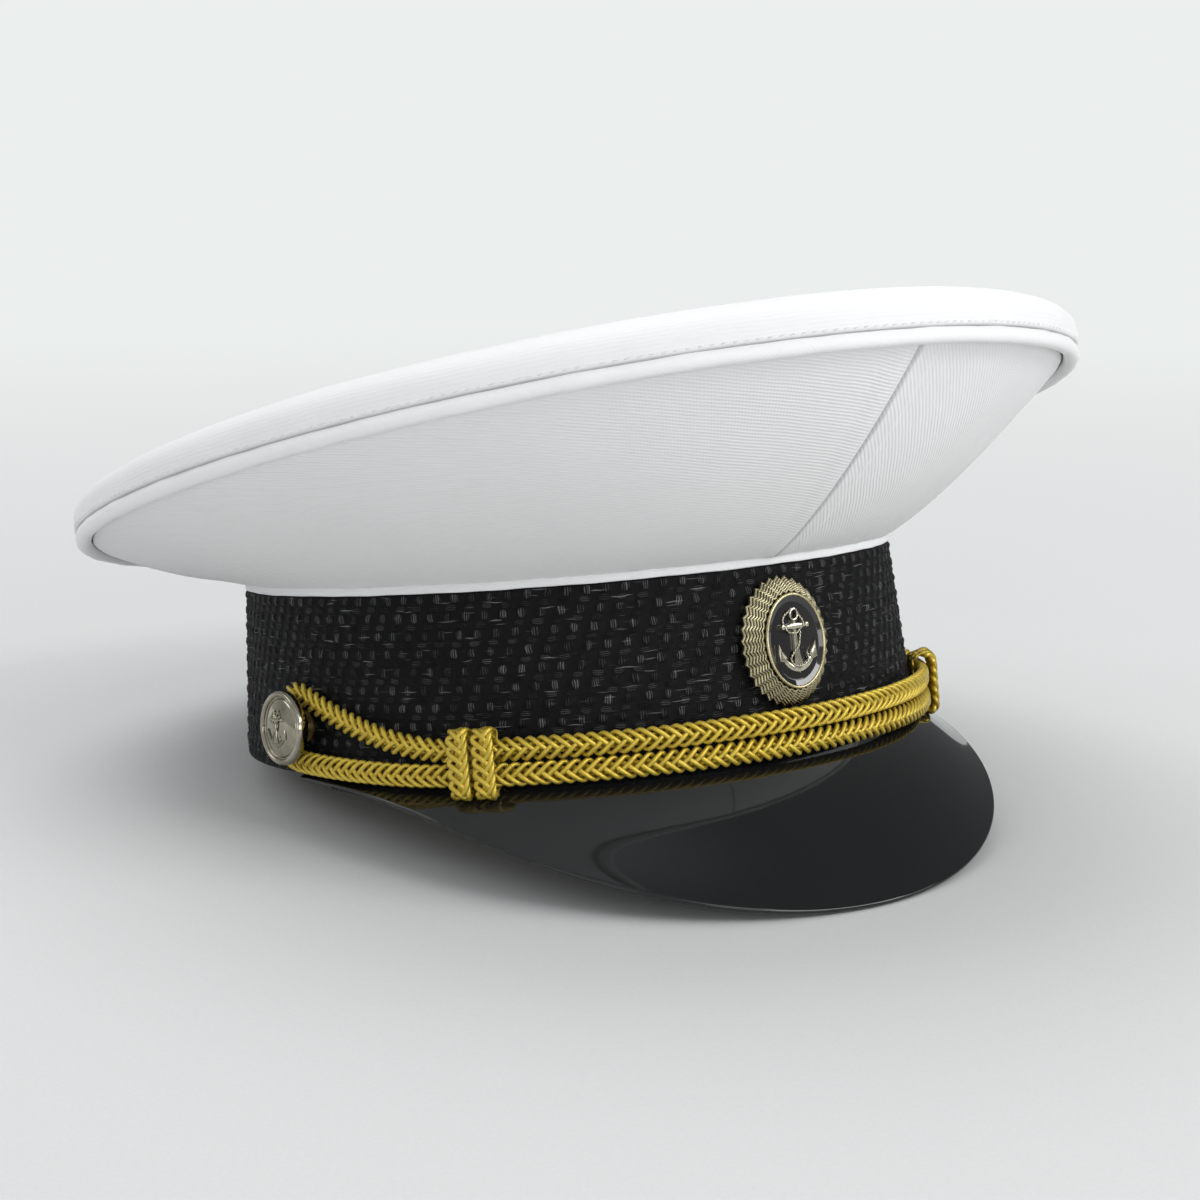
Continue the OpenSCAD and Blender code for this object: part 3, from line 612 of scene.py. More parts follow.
def top_panel():
    n = 420
    t = np.arange(n) * 360 / n - 180
    c = np.array([0, -6.9, RIM_Z])
    out = [[.02, -.62], [.4, -.32], [.64, .45], [.74, 1.6], [.78, 3.4], [.4, 5.0], [-.55, 6.6], [-2.2, 7.9], [-4.4, 8.85], [-7, 9.4]]
    inn = [[-1.2, .15], [-.6, 1.8], [-.45, 3.4], [-.8, 4.9], [-1.9, 6.2], [-3.9, 7.4], [-7.2, 8.2]]

    def dome(u, r, z):
        c2 = c + np.array([0, 0, z])
        return c2 + (rim(t, r, z) - c2) * u + np.array([0, 0, DOME * (1 - u * u)])
    us = [.96, .9, .8, .65, .5, .35, .2, .1, 0]
    K = np.stack([rim(t, r, z) for r, z in out] + [dome(u, -7, 9.4) for u in us])
    T = knots(K)[-1]
    so = np.concatenate([np.linspace(0, 20, 28), np.linspace(22.5, T, 34)])
    O = spline(K, at_s=so)
    # the rolled edge is a little uneven where the cloth is eased onto the wire
    x = np.radians(t)
    ease = wob(x, (.5, 9, 1.3), (.35, 23, .4), (.3, 41, 2.0), (.22, 67, 4.1))
    bell = np.exp(-((so - 2.6) / 2.6) ** 2)[:, None, None]
    O = O + bell * (0.16 * ease)[None, :, None] * rad(t)[None]
    bell2 = np.exp(-((so - 13) / 8) ** 2)[:, None]
    O[..., 2] += bell2 * 0.1 * wob(x, (.6, 5, .2), (.4, 13, 2.2), (.3, 29, .9))[None]
    # a shallow pull line over the wire, and slack towards the middle
    O[..., 2] += (0.28 * np.exp(-((so - 30) / 16) ** 2))[:, None] * wob(x, (.5, 4, .8), (.5, 7, 2.9))[None]
    K2 = np.stack([rim(t, r, z) for r, z in inn] + [dome(u, -7.2, 8.2) for u in us])
    T2 = knots(K2)[-1]
    I = spline(K2, at_s=np.concatenate([np.linspace(0, 18, 10), np.linspace(26, T2, 12)]))[::-1]
    b = Build()
    J = 28
    arc = np.concatenate([[0], np.cumsum(np.linalg.norm(np.diff(np.concatenate([O[4], O[4][:1]]), axis=0), axis=1))])
    A = O[:J].transpose(1, 0, 2)
    b.grid(A, True, False, np.stack(np.broadcast_arrays(arc[:, None] * .001, so[None, :J + 1] * .001), -1))
    for Q in (O[J - 1:], np.concatenate([I, O[:1]])):
        Q = Q.transpose(1, 0, 2)
        b.grid(Q, True, False, flat_uv(Q))
    o = b.obj("crown_top_panel_cloth", [cloth_t], CAP, "crown_cloth", ["crown_top_panel"], merge=1e-7)
    for k in range(326):
        tt = (k + .5) * 360 / 326 - 180 + np.linspace(-.42, .42, 5)
        stitch(stitches, rim(tt, .6 + 0.12 * np.interp(tt, t, ease), .62 + .18 * np.linspace(-1, 1, 5)), rad(tt), .2)
    return o


def aslant(t, s):
    f = np.maximum(0, 1 - np.abs(t) / 28)
    return t + (2.4 * s - 1.3) * f * f


def side_cloth(name, t0, t1, mat, node, lap=0.0, edge0=.6, edge1=.6):
    tt = np.linspace(t0, t1, 721)
    mid = side(tt, np.full(721, .5), 0)
    along = np.concatenate([[0], np.cumsum(np.linalg.norm(np.diff(mid, axis=0), axis=1))])
    near = np.array([0, .16, .34, .55, .8, 1.1, 1.5, 2.0, 2.6, 3.4, 4.4, 5.2, 5.8, 6.3, 6.8, 7.4, 8.2])  # closer steps by the seams
    far = np.linspace(9.2, along[-1] - 9.2, int((along[-1] - 18.4) / 1.25))
    t = np.interp(np.concatenate([near, far, along[-1] - near[::-1]]), along, tt)
    n = len(t)
    so = np.concatenate([[0, .004, .012, .024, .04], np.linspace(.06, .93, 24), [.955, .975, .99, 1.0]])
    si = np.linspace(1, 0, 10)
    mid = side(t, np.full(n, .5), 0)
    arc = np.concatenate([[0], np.cumsum(np.linalg.norm(np.diff(mid, axis=0), axis=1))])
    L = np.linalg.norm(side(t, np.ones(n), 0) - side(t, np.zeros(n), 0), axis=1)
    x = np.radians(t)[:, None]
    S = so[None]
    e = 0.2 * wob(x, (.5, 11, .3), (.4, 19, 1.9), (.25, 37, .2)) * 4 * S * (1 - S)
    e = e + 0.13 * wob(x, (.5, 53, .3), (.5, 83, 1.1)) * np.exp(-(S * L[:, None] / 5) ** 2)
    e = e - 0.12 * np.exp(-(S * L[:, None] / .6) ** 2) - 0.35 * np.exp(-((1 - S) * L[:, None] / 1.0) ** 2)
    for dive, d in ((edge0, arc), (edge1, arc[-1] - arc)):
        if dive:
            d = d[:, None]
            e = e - dive * np.exp(-(d / .8) ** 2) + 0.16 * smooth(d / 1.6) * (1 - smooth((d - 6.2) / 1.3))
            e = e + 0.10 * wob(S * 9, (1, 2.1, .7), (.6, 5.3, .2)) * np.exp(-(d / 5) ** 2)
    if lap:
        d = (arc[-1] - arc)[:, None]
        e = e + lap * (1 - smooth((d - 2.2) / 6.0)) - (lap + .45) * np.exp(-(d / .2) ** 2)
    O = side(aslant(t[:, None], S), S, e)
    I = side(aslant(t[:, None], si[None]), si[None], -1.0 + 0 * x)
    rows = np.concatenate([O, I], 1)
    s_all = np.concatenate([so, si, [0]])
    a_ = np.concatenate([arc, arc[-1:]])
    uv = np.stack(np.broadcast_arrays(a_[:, None] * .001, (np.concatenate([L, L[-1:]])[:, None] * s_all[None]) * .001), -1)
    b = Build()
    o0 = b.grid(rows, False, True, uv)
    k = rows.shape[1]
    for row, flip in ((0, False), (n - 1, True)):
        idx = [o0 + row * k + j for j in range(k)]
        b.poly(idx[::-1] if flip else idx, None)
    return b.obj(name, [mat], CAP, "crown_cloth", [node])


def piping():
    n = 760
    t = np.arange(n) * 360 / n - 180
    x = np.radians(t)
    C = rim(t, -1.3 + .05 * wob(x, (1, 13, .4), (.8, 31, 2.0)), -2.25 + .05 * wob(x, (1, 11, 1.4), (.8, 27, .3)))
    r = PIPE_R + .05 * wob(x, (1, 39, .2), (.8, 71, 1.0)) - .45 * np.exp(-(((t + 360) % 360 - 180) / .35) ** 2)
    b = Build()
    b.tube(C, r, 20, True, rad(t), vs=2 * PI * PIPE_R * .001)
    return b.obj("crown_piping_cord", [cloth_p], CAP, "piping_cloth", ["crown_piping"])


def ring_loft(b, prof, n, disp=None, mat=0, lean=False):
    """A closed ring round the band. prof is (outside distance, height) going round its section."""
    prof = np.asarray(prof, float)
    ta = band_angles(n)
    off = prof[:, 0][None] + (ln(prof[:, 1])[None] if lean else 0)
    z = np.broadcast_to(prof[:, 1][None], (n, len(prof)))
    if disp is not None:
        do, dz = disp(ta[:, None], prof[None])
        off, z = off + do, z + dz
    P = at(ta[:, None], off, z)
    v = knots(prof, True) * .001
    return b.grid(P, True, True, np.stack(np.broadcast_arrays((np.arange(n + 1) / n * PERIM * .001)[:, None], v[None]), -1), mat)


_t = np.linspace(-180, 180, 7201)
_p = np.stack(oval(_t, 0.0), -1)
_arc = np.concatenate([[0], np.cumsum(np.linalg.norm(np.diff(_p, axis=0), axis=1))])
PERIM = float(_arc[-1])


def band_angles(n):
    """n wall angles, evenly spaced along the band."""
    return np.interp(np.arange(n) / n * PERIM, _arc, _t)


def hem_tape():
    b = Build()
    p = [(-LEAN - 1.3, 47.45), (-LEAN - .35, 47.43), (-LEAN + .1, 47.5), (-LEAN + .3, 47.85), (-LEAN + .34, 48.4), (-LEAN + .27, 49.0), (-LEAN + .12, 49.5), (-LEAN - .25, 49.8), (-LEAN - 1.3, 49.7)]
    p = spline(np.array(p)[:, :], 28)

    def disp(t, q):
        x = np.radians(t)
        return .07 * wob(x, (1, 29, .3), (.8, 61, 2.1)) * smooth((q[..., 0] + LEAN + .8) / .8), .05 * wob(x, (1, 17, 1.3), (.7, 47, .1)) + 0 * q[..., 0]
    ring_loft(b, p, 620, disp)
    return b.obj("crown_hem_tape_cloth", [cloth_h], CAP, "hem_tape", ["crown_hem_tape"])


def lining():
    n = 360
    t = np.arange(n) * 360 / n - 180
    x = np.radians(t)
    pl = np.abs(np.sin(x * 36 + .4 * np.sin(x * 5))) ** .7 * .8 + .25 * wob(x, (1, 11, .2), (.6, 23, 1.0))

    def rows(e):
        R = [at(t, ln(41) - 5.6 - e - .2 * pl, 41 + 0 * t), at(t, -LEAN - 5.4 - e - .5 * pl, 52.4 + 0 * t)]
        R += [side(t, s + 0 * t, -4 - e - pl * f) for s, f in ((.2, .7), (.5, .8), (.8, 1.0))]
        R += [rim(t, -8 - e - pl * .8, -.5), rim(t, -10 - e - pl * .5, 4 - e)]
        for u in (.85, .6, .3, 0):
            p, c = rim(t, -10 - e, 4 - e), np.array([0, -6.9, RIM_Z + 4 - e])
            q = c + (p - c) * u + np.array([0, 0, DOME * (1 - u * u)])
            q[:, 2] -= pl * .45 * u**6
            R.append(q)
        return np.stack(R)
    K = rows(0.0)
    T = knots(K)[-1]
    s = np.concatenate([np.linspace(0, 80, 44), np.linspace(84, T, 22)])
    O = spline(K, at_s=s)
    K2 = rows(.6)
    I = spline(K2, at_s=s / T * knots(K2)[-1])[::-1]
    b = Build()
    for Q, v in ((O, s), (np.concatenate([I, O[:1]]), np.concatenate([s[::-1], [-.6]]))):
        v = np.concatenate([v, v[-1:]]) * .001
        b.grid(Q.transpose(1, 0, 2), True, False, np.stack(np.broadcast_arrays((np.arange(n + 1) / n * .8)[:, None], v[None]), -1))
    return b.obj("crown_lining_satin", [satin], CAP, "lining_satin", ["crown_lining"], merge=1e-7)


def shield():
    sl = math.atan(RIM_K / (RIM_A - 10.6))
    M = np.array(Matrix.Translation((0, -6.9, RIM_Z + DOME + .7)) @ Matrix.Rotation(-sl, 4, "X"))
    ny, nx = 72, 28
    y = 91.4 * np.sin(np.linspace(-PI / 2, PI / 2, ny)) * .9995
    hw = np.sqrt(125.0**2 - y**2) - 85
    X = np.linspace(-1, 1, nx)[None] * hw[:, None]
    Y = np.broadcast_to(y[:, None], X.shape)
    wz = .05 * np.sin(X * .21 + 1) * np.sin(Y * .13)
    top = np.stack([X, Y, .36 + wz], -1); bot = np.stack([X, Y, .06 + wz], -1)
    rows = np.concatenate([top, bot[:, ::-1]], 1)
    b = Build()
    g = b.grid(place(M, rows), False, True, np.concatenate([np.stack([X, Y], -1), np.stack([X, Y], -1)[:, ::-1], np.stack([X, Y], -1)[:, :1]], 1)[list(range(ny)) + [ny - 1]] * .001)
    k = 2 * nx
    for row, flip in ((0, False), (ny - 1, True)):
        idx = [g + row * k + j for j in range(k)]
        b.poly(idx[::-1] if flip else idx)
    o = b.obj("lining_sweat_shield_film", [film], CAP, "shield_film", ["lining_sweat_shield"])
    b = Build()
    a = np.degrees(np.arcsin(91.2 / 125))
    th = np.radians(np.linspace(-a, a, 90))
    right = np.stack([-85 + 124.4 * np.cos(th), 124.4 * np.sin(th), 0 * th + .1], -1)
    left = np.stack([85 - 124.4 * np.cos(th[::-1]), 124.4 * np.sin(th[::-1]), 0 * th + .1], -1)
    loop = np.concatenate([right, left[1:-1]])
    b.tube(place(M, loop), .32, 6, True)
    b.obj("lining_sweat_shield_seam", [thread_w], CAP, "lining_satin")
    return o


top = top_panel()
right = side_cloth("crown_right_panel_cloth", -136.94, -.05, cloth_r, "crown_right_panel", lap=.52, edge1=0)
left = side_cloth("crown_left_panel_cloth", .05, 136.94, cloth_l, "crown_left_panel")
rear = side_cloth("crown_rear_panel_cloth", 137.06, 222.94, cloth_b, "crown_rear_panel")
pipe = piping()
hem = hem_tape()
lin = lining()
shd = shield()

# ------------------------------------------------------------------ band
NC = round(PERIM / CELL)  # knots round the band


def band_cover():
    n = 1360
    ta = band_angles(n)
    a = (np.arange(n) / n * NC * CELL)[:, None]
    zo = np.linspace(.55, 46.85, 110)
    z = zo[None] + .16 * np.sin(a * .47) + .12 * np.sin(a * 1.31 + zo[None] * .3)
    row = np.floor(z / ROW + .5)
    X = (a + .2 * np.sin(zo[None] * .83 + a * .21) - row * STEP) / CELL
    dx, dz = (X - np.round(X)) * CELL, z - row * ROW
    up = .5 * np.exp(-(np.abs(dx) / 1.3) ** 3 - (np.abs(dz) / 1.0) ** 3)
    dn = .28 * np.exp(-(np.abs(dx) / 1.6) ** 3 - (np.abs(dz) / .8) ** 3)
    h = np.where(row % 2 == 0, up, dn)
    h = h * (1 + .2 * np.sin(a * 1.7 + zo[None] * 1.3)) + .07 * np.sin(a * 2 * PI / 1.24) * np.sin(zo[None] * 2 * PI / 1.0) - .13
    end = smooth((zo - .4) / .8) * smooth((47.0 - zo) / .8)
    O = at(ta[:, None], ln(zo)[None] + h * end[None], zo[None] + 0 * h)
    pr = np.array([(ln(47.2) - .18, 47.18), (ln(47.4) - .5, 47.36), (ln(47.4) - 1.3, 47.4), (ln(47.2) - 1.6, 47.2), (ln(30) - 1.6, 30.), (ln(12) - 1.6, 12.), (ln(.3) - 1.6, .3), (-1.3, .12), (-.5, .08), (-.12, .26)])
    E = at(ta[:, None], pr[:, 0][None] + .05 * np.sin(a * 2 * PI / CELL), pr[:, 1][None] + 0 * a)
    P = np.concatenate([O, E], 1)
    v = np.concatenate([zo, [47.3, 47.6, 48.4, 48.8, 66, 84, 95.7, 96.1, 96.9, 97.4, 97.8]]) * .001
    u = np.arange(n + 1) / n * NC * CELL * .001
    b = Build()
    b.grid(P, True, True, np.stack(np.broadcast_arrays(u[:, None], v[None]), -1))
    return b.obj("band_cover_weave", [weave], CAP, "band_weave", ["band_cover"])


def section(path, half):
    """A closed strip section round a 2D path."""
    p = np.asarray(path, float)
    d = unit(np.gradient(p, axis=0))
    nrm = np.stack([-d[:, 1], d[:, 0]], -1)
    h = np.broadcast_to(half, (len(p),))[:, None].copy()
    h[0] *= .45; h[-1] *= .45
    return np.concatenate([p + nrm * h, (p - nrm * h)[::-1]])


def sweatband():
    b = Build()
    p = spline(np.array([(-5.9, 39.8), (-5.9, 30), (-5.9, 18), (-5.9, 8), (-5.88, 4.2), (-5.86, 2.6), (-5.72, 1.3), (-5.1, .52), (-4.4, .42), (-3.7, .8)], float), 44)
    prof = section(p, .42)

    def disp(t, q):
        x = np.radians(t)
        z = q[..., 1]
        seam = -.45 * np.exp(-((np.abs(t) - 180) / .5) ** 2) * smooth(z / 4)
        return (-.28 * np.abs(wob(x, (.6, 17, .3), (.5, 29, 1.2))) * smooth((z - 4) / 30) + .1 * wob(x, (1, 47, .2)) * smooth(z / 6) - seam * (q[..., 0] < -5.8), .25 * wob(x, (1, 9, .4), (.6, 21, .2)) * smooth((z - 20) / 20) + 0 * x)
    ring_loft(b, prof, 640, disp, lean=True)
    o = b.obj("sweatband_leather", [leather], CAP, "sweat_leather", ["sweatband"])
    s = Build()
    ns = 196
    for k in range(ns):
        aa = (k + np.linspace(-.34, .34, 5)) / ns * PERIM
        ta = np.interp(aa % PERIM, _arc, _t)
        stitch(s, at(ta, ln(3.6) - 6.36, 3.6 + 0 * ta), -rad(ta), .17)
    s.obj("sweatband_stitches", [thread_b], CAP, "sweat_leather")
    return o


cover = band_cover()
sweat = sweatband()

# ------------------------------------------------------------------ visor
def visor_piece():
    n = 300
    m = np.linspace(-1, 1, n)
    t = VT * (m + .04 * np.sin(2 * PI * m) / 1.0 * .5)
    l = np.linalg.norm(vedge(t) - np.array([0, -.9]), axis=1)
    r = np.minimum(VISOR_T / 2, l * .45)
    so = 1 - (1 - np.linspace(0, 1, 30)) ** 1.15
    rows = []
    for i in range(n):
        f = 1 - r[i] / l[i]
        ph = np.linspace(PI / 2, -PI / 2, 9)
        es = np.concatenate([0 * so, r[i] - r[i] * np.sin(ph[1:-1]), 0 * so[::2] + 2 * r[i]])
        ss = np.concatenate([so * f, f + (1 - f) * np.cos(ph[1:-1]), (so * f)[::-2]])
        rows.append((ss, es))
    ss = np.stack([a for a, _ in rows]); es = np.stack([a for _, a in rows])
    P = visor(t[:, None], ss, es)
    r0 = at(t, -1.5, -.12 + 0 * t)[:, None]; r1 = at(t, -1.5, -.12 - VISOR_T + 0 * t)[:, None]
    P = np.concatenate([r0, P, r1], 1)
    arc = np.radians(t) * 102
    uv = np.stack(np.broadcast_arrays(arc[list(range(n)) + [n - 1]][:, None] * .001, np.linspace(0, .1, P.shape[1] + 1)[None]), -1)
    b = Build()
    o0 = b.grid(P, False, True, uv)
    k = P.shape[1]
    for row, flip in ((0, False), (n - 1, True)):
        idx = [o0 + row * k + j for j in range(k)]
        b.poly(idx[::-1] if flip else idx)
    return b.obj("visor_shell_patent", [patent], CAP, "visor_gloss", ["visor_shell"], sharp=50)


def visor_under():
    n = 220
    t = np.linspace(-79, 79, n)
    so = np.linspace(0, .93, 26)
    ed = np.array([[.938, 1.42], [.943, 1.6], [.938, 1.78]])
    ss = np.concatenate([so, ed[:, 0], so[::-1]]); es = np.concatenate([0 * so + 1.34, ed[:, 1], 0 * so + 1.86])
    x = np.radians(t)[:, None]
    es = es[None] + .05 * wob(x, (1, 13, .2), (.5, 31, 1.)) * (es[None] > 1.7)
    P = visor(t[:, None], ss[None], es)
    P = np.concatenate([at(t, -1.5, -.12 - 1.34 + 0 * t)[:, None], P, at(t, -1.5, -.12 - 1.86 + 0 * t)[:, None]], 1)
    uv = np.stack(np.broadcast_arrays((np.radians(t) * .102)[list(range(n)) + [n - 1]][:, None], np.linspace(0, .08, P.shape[1] + 1)[None]), -1)
    b = Build()
    o0 = b.grid(P, False, True, uv)
    k = P.shape[1]
    for row, flip in ((0, False), (n - 1, True)):
        idx = [o0 + row * k + j for j in range(k)]
        b.poly(idx[::-1] if flip else idx)
    return b.obj("visor_lining_leathercloth", [under], CAP, "visor_under", ["visor_lining"])


vis = visor_piece()
vlin = visor_under()

# ------------------------------------------------------------------ anchors in relief
def relief(b, m, outline, z0, z1, bev=.16, surf=None, mat=0):
    """A bevelled flat shape in relief; surf(x, y) lifts it onto a curved ground."""
    o = np.asarray(outline, float)
    if (np.roll(o[:, 0], -1) * o[:, 1] - o[:, 0] * np.roll(o[:, 1], -1)).sum() > 0:
        o = o[::-1]
    d1, d2 = unit(o - np.roll(o, 1, 0)), unit(np.roll(o, -1, 0) - o)
    nrm = unit(np.stack([-(d1[:, 1] + d2[:, 1]), d1[:, 0] + d2[:, 0]], -1))
    n = len(o)
    rings = []
    for ins, z in ((0, z0 - .5), (0, z1 - bev), (bev * .35, z1 - bev * .35), (bev, z1)):
        q = o + nrm * ins
        rings.append(np.c_[q, np.full(n, z)])
    P = np.stack(rings, 1)
    if surf is not None:
        P[..., 2] += surf(P[..., 0], P[..., 1]) * (np.arange(4) > 0)
    g = b.grid(place(m, P), True, False, None, mat)
    b.poly([g + i * 4 + 3 for i in range(n)], None, mat)
    b.poly([g + i * 4 for i in range(n)][::-1], None, mat)


def arc2(cx, cy, r, a0, a1, n):
    a = np.radians(np.linspace(a0, a1, n))
    return np.stack([cx + r * np.cos(a), cy + r * np.sin(a)], -1)


def anchor(b, m, h, z0, t, surf=None, mat=0):
    """A plain admiralty anchor, h high."""
    k = h / 14
    sf = surf or (lambda x, y: 0 * x)
    up = (z0 + t)
    # arms, with a pointed crown
    outer, inner = arc2(0, -.9, 5.75, 205, 335, 22), arc2(0, .35, 5.35, 331, 209, 18)
    outer = np.concatenate([outer[:11], [[0, -7.0]], outer[11:]])
    relief(b, m, np.concatenate([outer, inner]) * k, z0, up * 1.0 - .12 * t, .28 * k, surf, mat)
    # shank, wider at its foot
    relief(b, m, np.array([[-.42, 4.7], [-.5, 2.5], [-.62, 0], [-.95, -3], [-1.5, -5.6], [0, -6.3], [1.5, -5.6], [.95, -3], [.62, 0], [.5, 2.5], [.42, 4.7]]) * k, z0, up, .26 * k, surf, mat)
    # palms
    for s in (-1, 1):
        f = np.array([[3.35, -3.35], [4.3, -4.35], [5.9, -3.9], [5.95, -2.2], [5.75, -.3], [4.9, -1.5], [4.1, -2.4]]) * k
        f[:, 0] *= s
        relief(b, m, f, z0, up + .12 * t, .3 * k, surf, mat)
    # stock
    relief(b, m, np.array([[-3.5, 2.75], [-2.2, 2.6], [-.8, 2.45], [.8, 2.45], [2.2, 2.6], [3.5, 2.75], [3.5, 3.45], [2.2, 3.55], [.8, 3.75], [-.8, 3.75], [-2.2, 3.55], [-3.5, 3.45]]) * k, z0, up + .15 * t, .26 * k, surf, mat)
    for s in (-1, 1):
        relief(b, m, arc2(s * 3.7, 3.1, .62, 0, 342, 20) * k, z0, up + .3 * t, .3 * k, surf, mat)
    # ring
    a = np.linspace(0, 2 * PI, 40, endpoint=False)
    c = np.stack([1.15 * np.cos(a), 5.6 + 1.15 * np.sin(a)], -1) * k
    z = up - .1 * t + .12 * np.sin(a) + sf(c[:, 0], c[:, 1])
    b.tube(place(m, np.c_[c, z]), .24 * k, 8, True, mat=mat)


def rope(b, m, pts, k, r, surf=None, mat=0):
    p = spline(np.asarray(pts, float) * np.array([k, k, 1]), 150)
    if surf is not None:
        p[:, 2] += surf(p[:, 0], p[:, 1])
    d = unit(np.gradient(p, axis=0))
    n1 = unit(np.cross(d, np.array([0, 0, 1.0]) + 0 * d)); n2 = np.cross(n1, d)
    s = np.concatenate([[0], np.cumsum(np.linalg.norm(np.diff(p, axis=0), axis=1))])
    for ph in (0, PI):  # two strands laid round each other
        q = p + r * .52 * (np.cos(s * 2 * PI / (r * 7) + ph)[:, None] * n1 + np.sin(s * 2 * PI / (r * 7) + ph)[:, None] * n2)
        b.tube(place(m, q), r * .62, 7, mat=mat)


ROPE = [(-.3, 6.9, 0), (-1.5, 6.2, .05), (-2.9, 5.2, -.1), (-3.3, 3.9, .0), (-2.9, 2.6, .42), (-1.6, 1.9, .1), (.0, 1.6, .35), (1.6, 2.3, .1), (2.5, 3.3, .42), (2.3, 4.8, .0), (1.2, 5.9, .2), (.9, 6.7, .1)]
ROPE2 = [(1.9, 1.9, .0), (1.3, .4, .1), (.3, -1.2, .38), (-1.2, -2.6, .15), (-2.0, -3.9, .0), (-1.4, -5.1, .3), (.2, -5.3, .5), (2.0, -5.0, .3), (3.1, -4.0, .25), (3.0, -2.7, .1)]

# ------------------------------------------------------------------ badge
BM = on_band(BADGE_T, BADGE_Z)


def ell_ring(b, m, prof, a, bb, n=120, mat=0, closed=True):
    """Sweeps a section of (outwards, height) round an ellipse."""
    prof = np.asarray(prof, float)
    th = np.arange(n) * 2 * PI / n
    c = np.stack([a * np.sin(th), bb * np.cos(th)], -1)
    nm = unit(np.stack([np.sin(th) / a, np.cos(th) / bb], -1))
    P = np.concatenate([c[:, None] + nm[:, None] * prof[None, :, :1], np.broadcast_to(prof[None, :, 1:], (n, len(prof), 1))], -1)
    return b.grid(place(m, P), True, closed, None, mat)


def starburst():
    TE, nt, nr = 34, 12, 7
    n = TE * nt
    th = np.arange(n) * 2 * PI / n
    f = (np.arange(n) / nt) % 1
    tri = (np.abs(2 * f - 1) ** 1.2)[:, None]
    w = np.linspace(0, 1, nr * 9 + 1)[None]
    zig = tri * (.5 + .5 * w)
    ph = (w * nr) % 1
    ridge = .34 * np.where(ph < .66, np.sin(ph / .66 * PI / 2), np.cos((ph - .66) / .34 * PI / 2)) * (w < 1) - .12
    lift = SEAT_Z + .7 - 4.7 * (.62 * w + .38 * w * w)
    k = ridge * .66
    X = (9.5 + 3.4 * w + .9 * zig + k) * np.sin(th)[:, None]
    Y = (12.3 + 3.55 * w + 1.15 * zig + k) * np.cos(th)[:, None]
    P = np.stack([X, Y, lift + ridge * .72 + 0 * X], -1)
    e = P[:, -1:].copy(); e[..., 2] -= .25
    e2 = P[:, -1:].copy(); e2[..., :2] *= .985; e2[..., 2] = .88
    i2 = P[:, :1].copy(); i2[..., :2] *= .95; i2[..., 2] = .88
    P = np.concatenate([P, e, e2, i2], 1)
    v = np.concatenate([w[0] * nr, [nr, nr, nr, 0]])
    u = np.concatenate([np.arange(n) / nt, [TE]])
    b = Build()
    b.grid(place(BM, P), True, True, np.stack(np.broadcast_arrays(u[:, None], v[None]), -1))
    return b.obj("badge_starburst_plate", [badge_ridge], CAP, "badge_gold", ["badge_starburst"], sharp=44)


def badge():
    starburst()
    b = Build()
    a = np.radians(np.linspace(-40, 220, 22))
    bez = [(.02 + .42 * math.cos(q), SEAT_Z + 1.05 + .5 * math.sin(q)) for q in a]
    bez = [(.36, SEAT_Z)] + bez + [(-.32, SEAT_Z)]
    ell_ring(b, BM, bez[::-1], 9.0, 11.8, 144)
    b.obj("badge_bezel_rim", [badge_gold], CAP, "badge_gold", ["badge_bezel"])
    b = Build()
    rr = np.concatenate([np.linspace(0, .872, 20), [.88, .89, .92, .95, .98, 1.0]])
    top = np.c_[rr, SEAT_Z + .42 + .4 * np.minimum(rr, .88)**2 + .46 * np.clip((rr - .878) / .122, 0, 1)]
    prof = np.concatenate([top, [[1.0, SEAT_Z + .05], [0, SEAT_Z + .05]]])
    n = 120
    th = np.arange(n) * 2 * PI / n
    P = np.stack([8.68 * prof[None, :, 0] * np.cos(th)[:, None], 11.48 * prof[None, :, 0] * np.sin(th)[:, None], np.broadcast_to(prof[None, :, 1], (n, len(prof)))], -1)
    b.grid(place(BM, P), True, False)
    b.obj("badge_enamel_field", [enamel], CAP, "badge_enamel", ["badge_enamel"], merge=1e-7, sharp=60)

    def dish(x, y):
        return .4 * ((x * .85 / 8.68) ** 2 + (y / 11.48) ** 2)
    tall = BM @ np.diag([.85, 1, 1, 1])
    b = Build()
    anchor(b, tall, 16.8, SEAT_Z + .4, .95, dish)
    b.obj("badge_anchor_relief", [badge_silver], CAP, "badge_silver", ["badge_anchor"], sharp=32)
    b = Build()
    for pts in (ROPE, ROPE2):
        rope(b, tall, [(x, y, SEAT_Z + .85 + z * 1.7) for x, y, z in pts], 16.8 / 14, .27, dish)
    b.obj("badge_anchor_rope_relief", [badge_silver], CAP, "badge_silver", ["badge_anchor_rope"])


badge()

# ------------------------------------------------------------------ chin cords
CORD_OFF, CORD_END, UP_Z, LOW_Z, LOOP_R, UP_TURN, LOW_TURN, SPLIT_T = 3.5, 2.25, 8.35, 2.05, 9.0, 21.4, 4.1, 57.0
RS, RF = R2 + 2.5, R1 + 2.5
A_SIDE = math.radians(BUTTON_T - PH) * RS
A_ALL = A_SIDE + math.radians(PH - SPLIT_T) * RF
UP_A, UP_E = LOOP_R * sind(UP_TURN), BUTTON_Z + LOOP_R * cosd(UP_TURN)
LOW_A, LOW_E = -LOOP_R * sind(LOW_TURN), BUTTON_Z - LOOP_R * cosd(LOW_TURN)


def a2t(a): return np.where(a <= A_SIDE, BUTTON_T - np.degrees(a / RS), PH - np.degrees((a - A_SIDE) / RF))


def wallp(s, a, z, off=0.0):
    k = smooth((a - 16) / 32)
    return at(s * a2t(a), ln(np.maximum(0, z)) * (1 - k) + CORD_END + (CORD_OFF - CORD_END) * k + off, z)


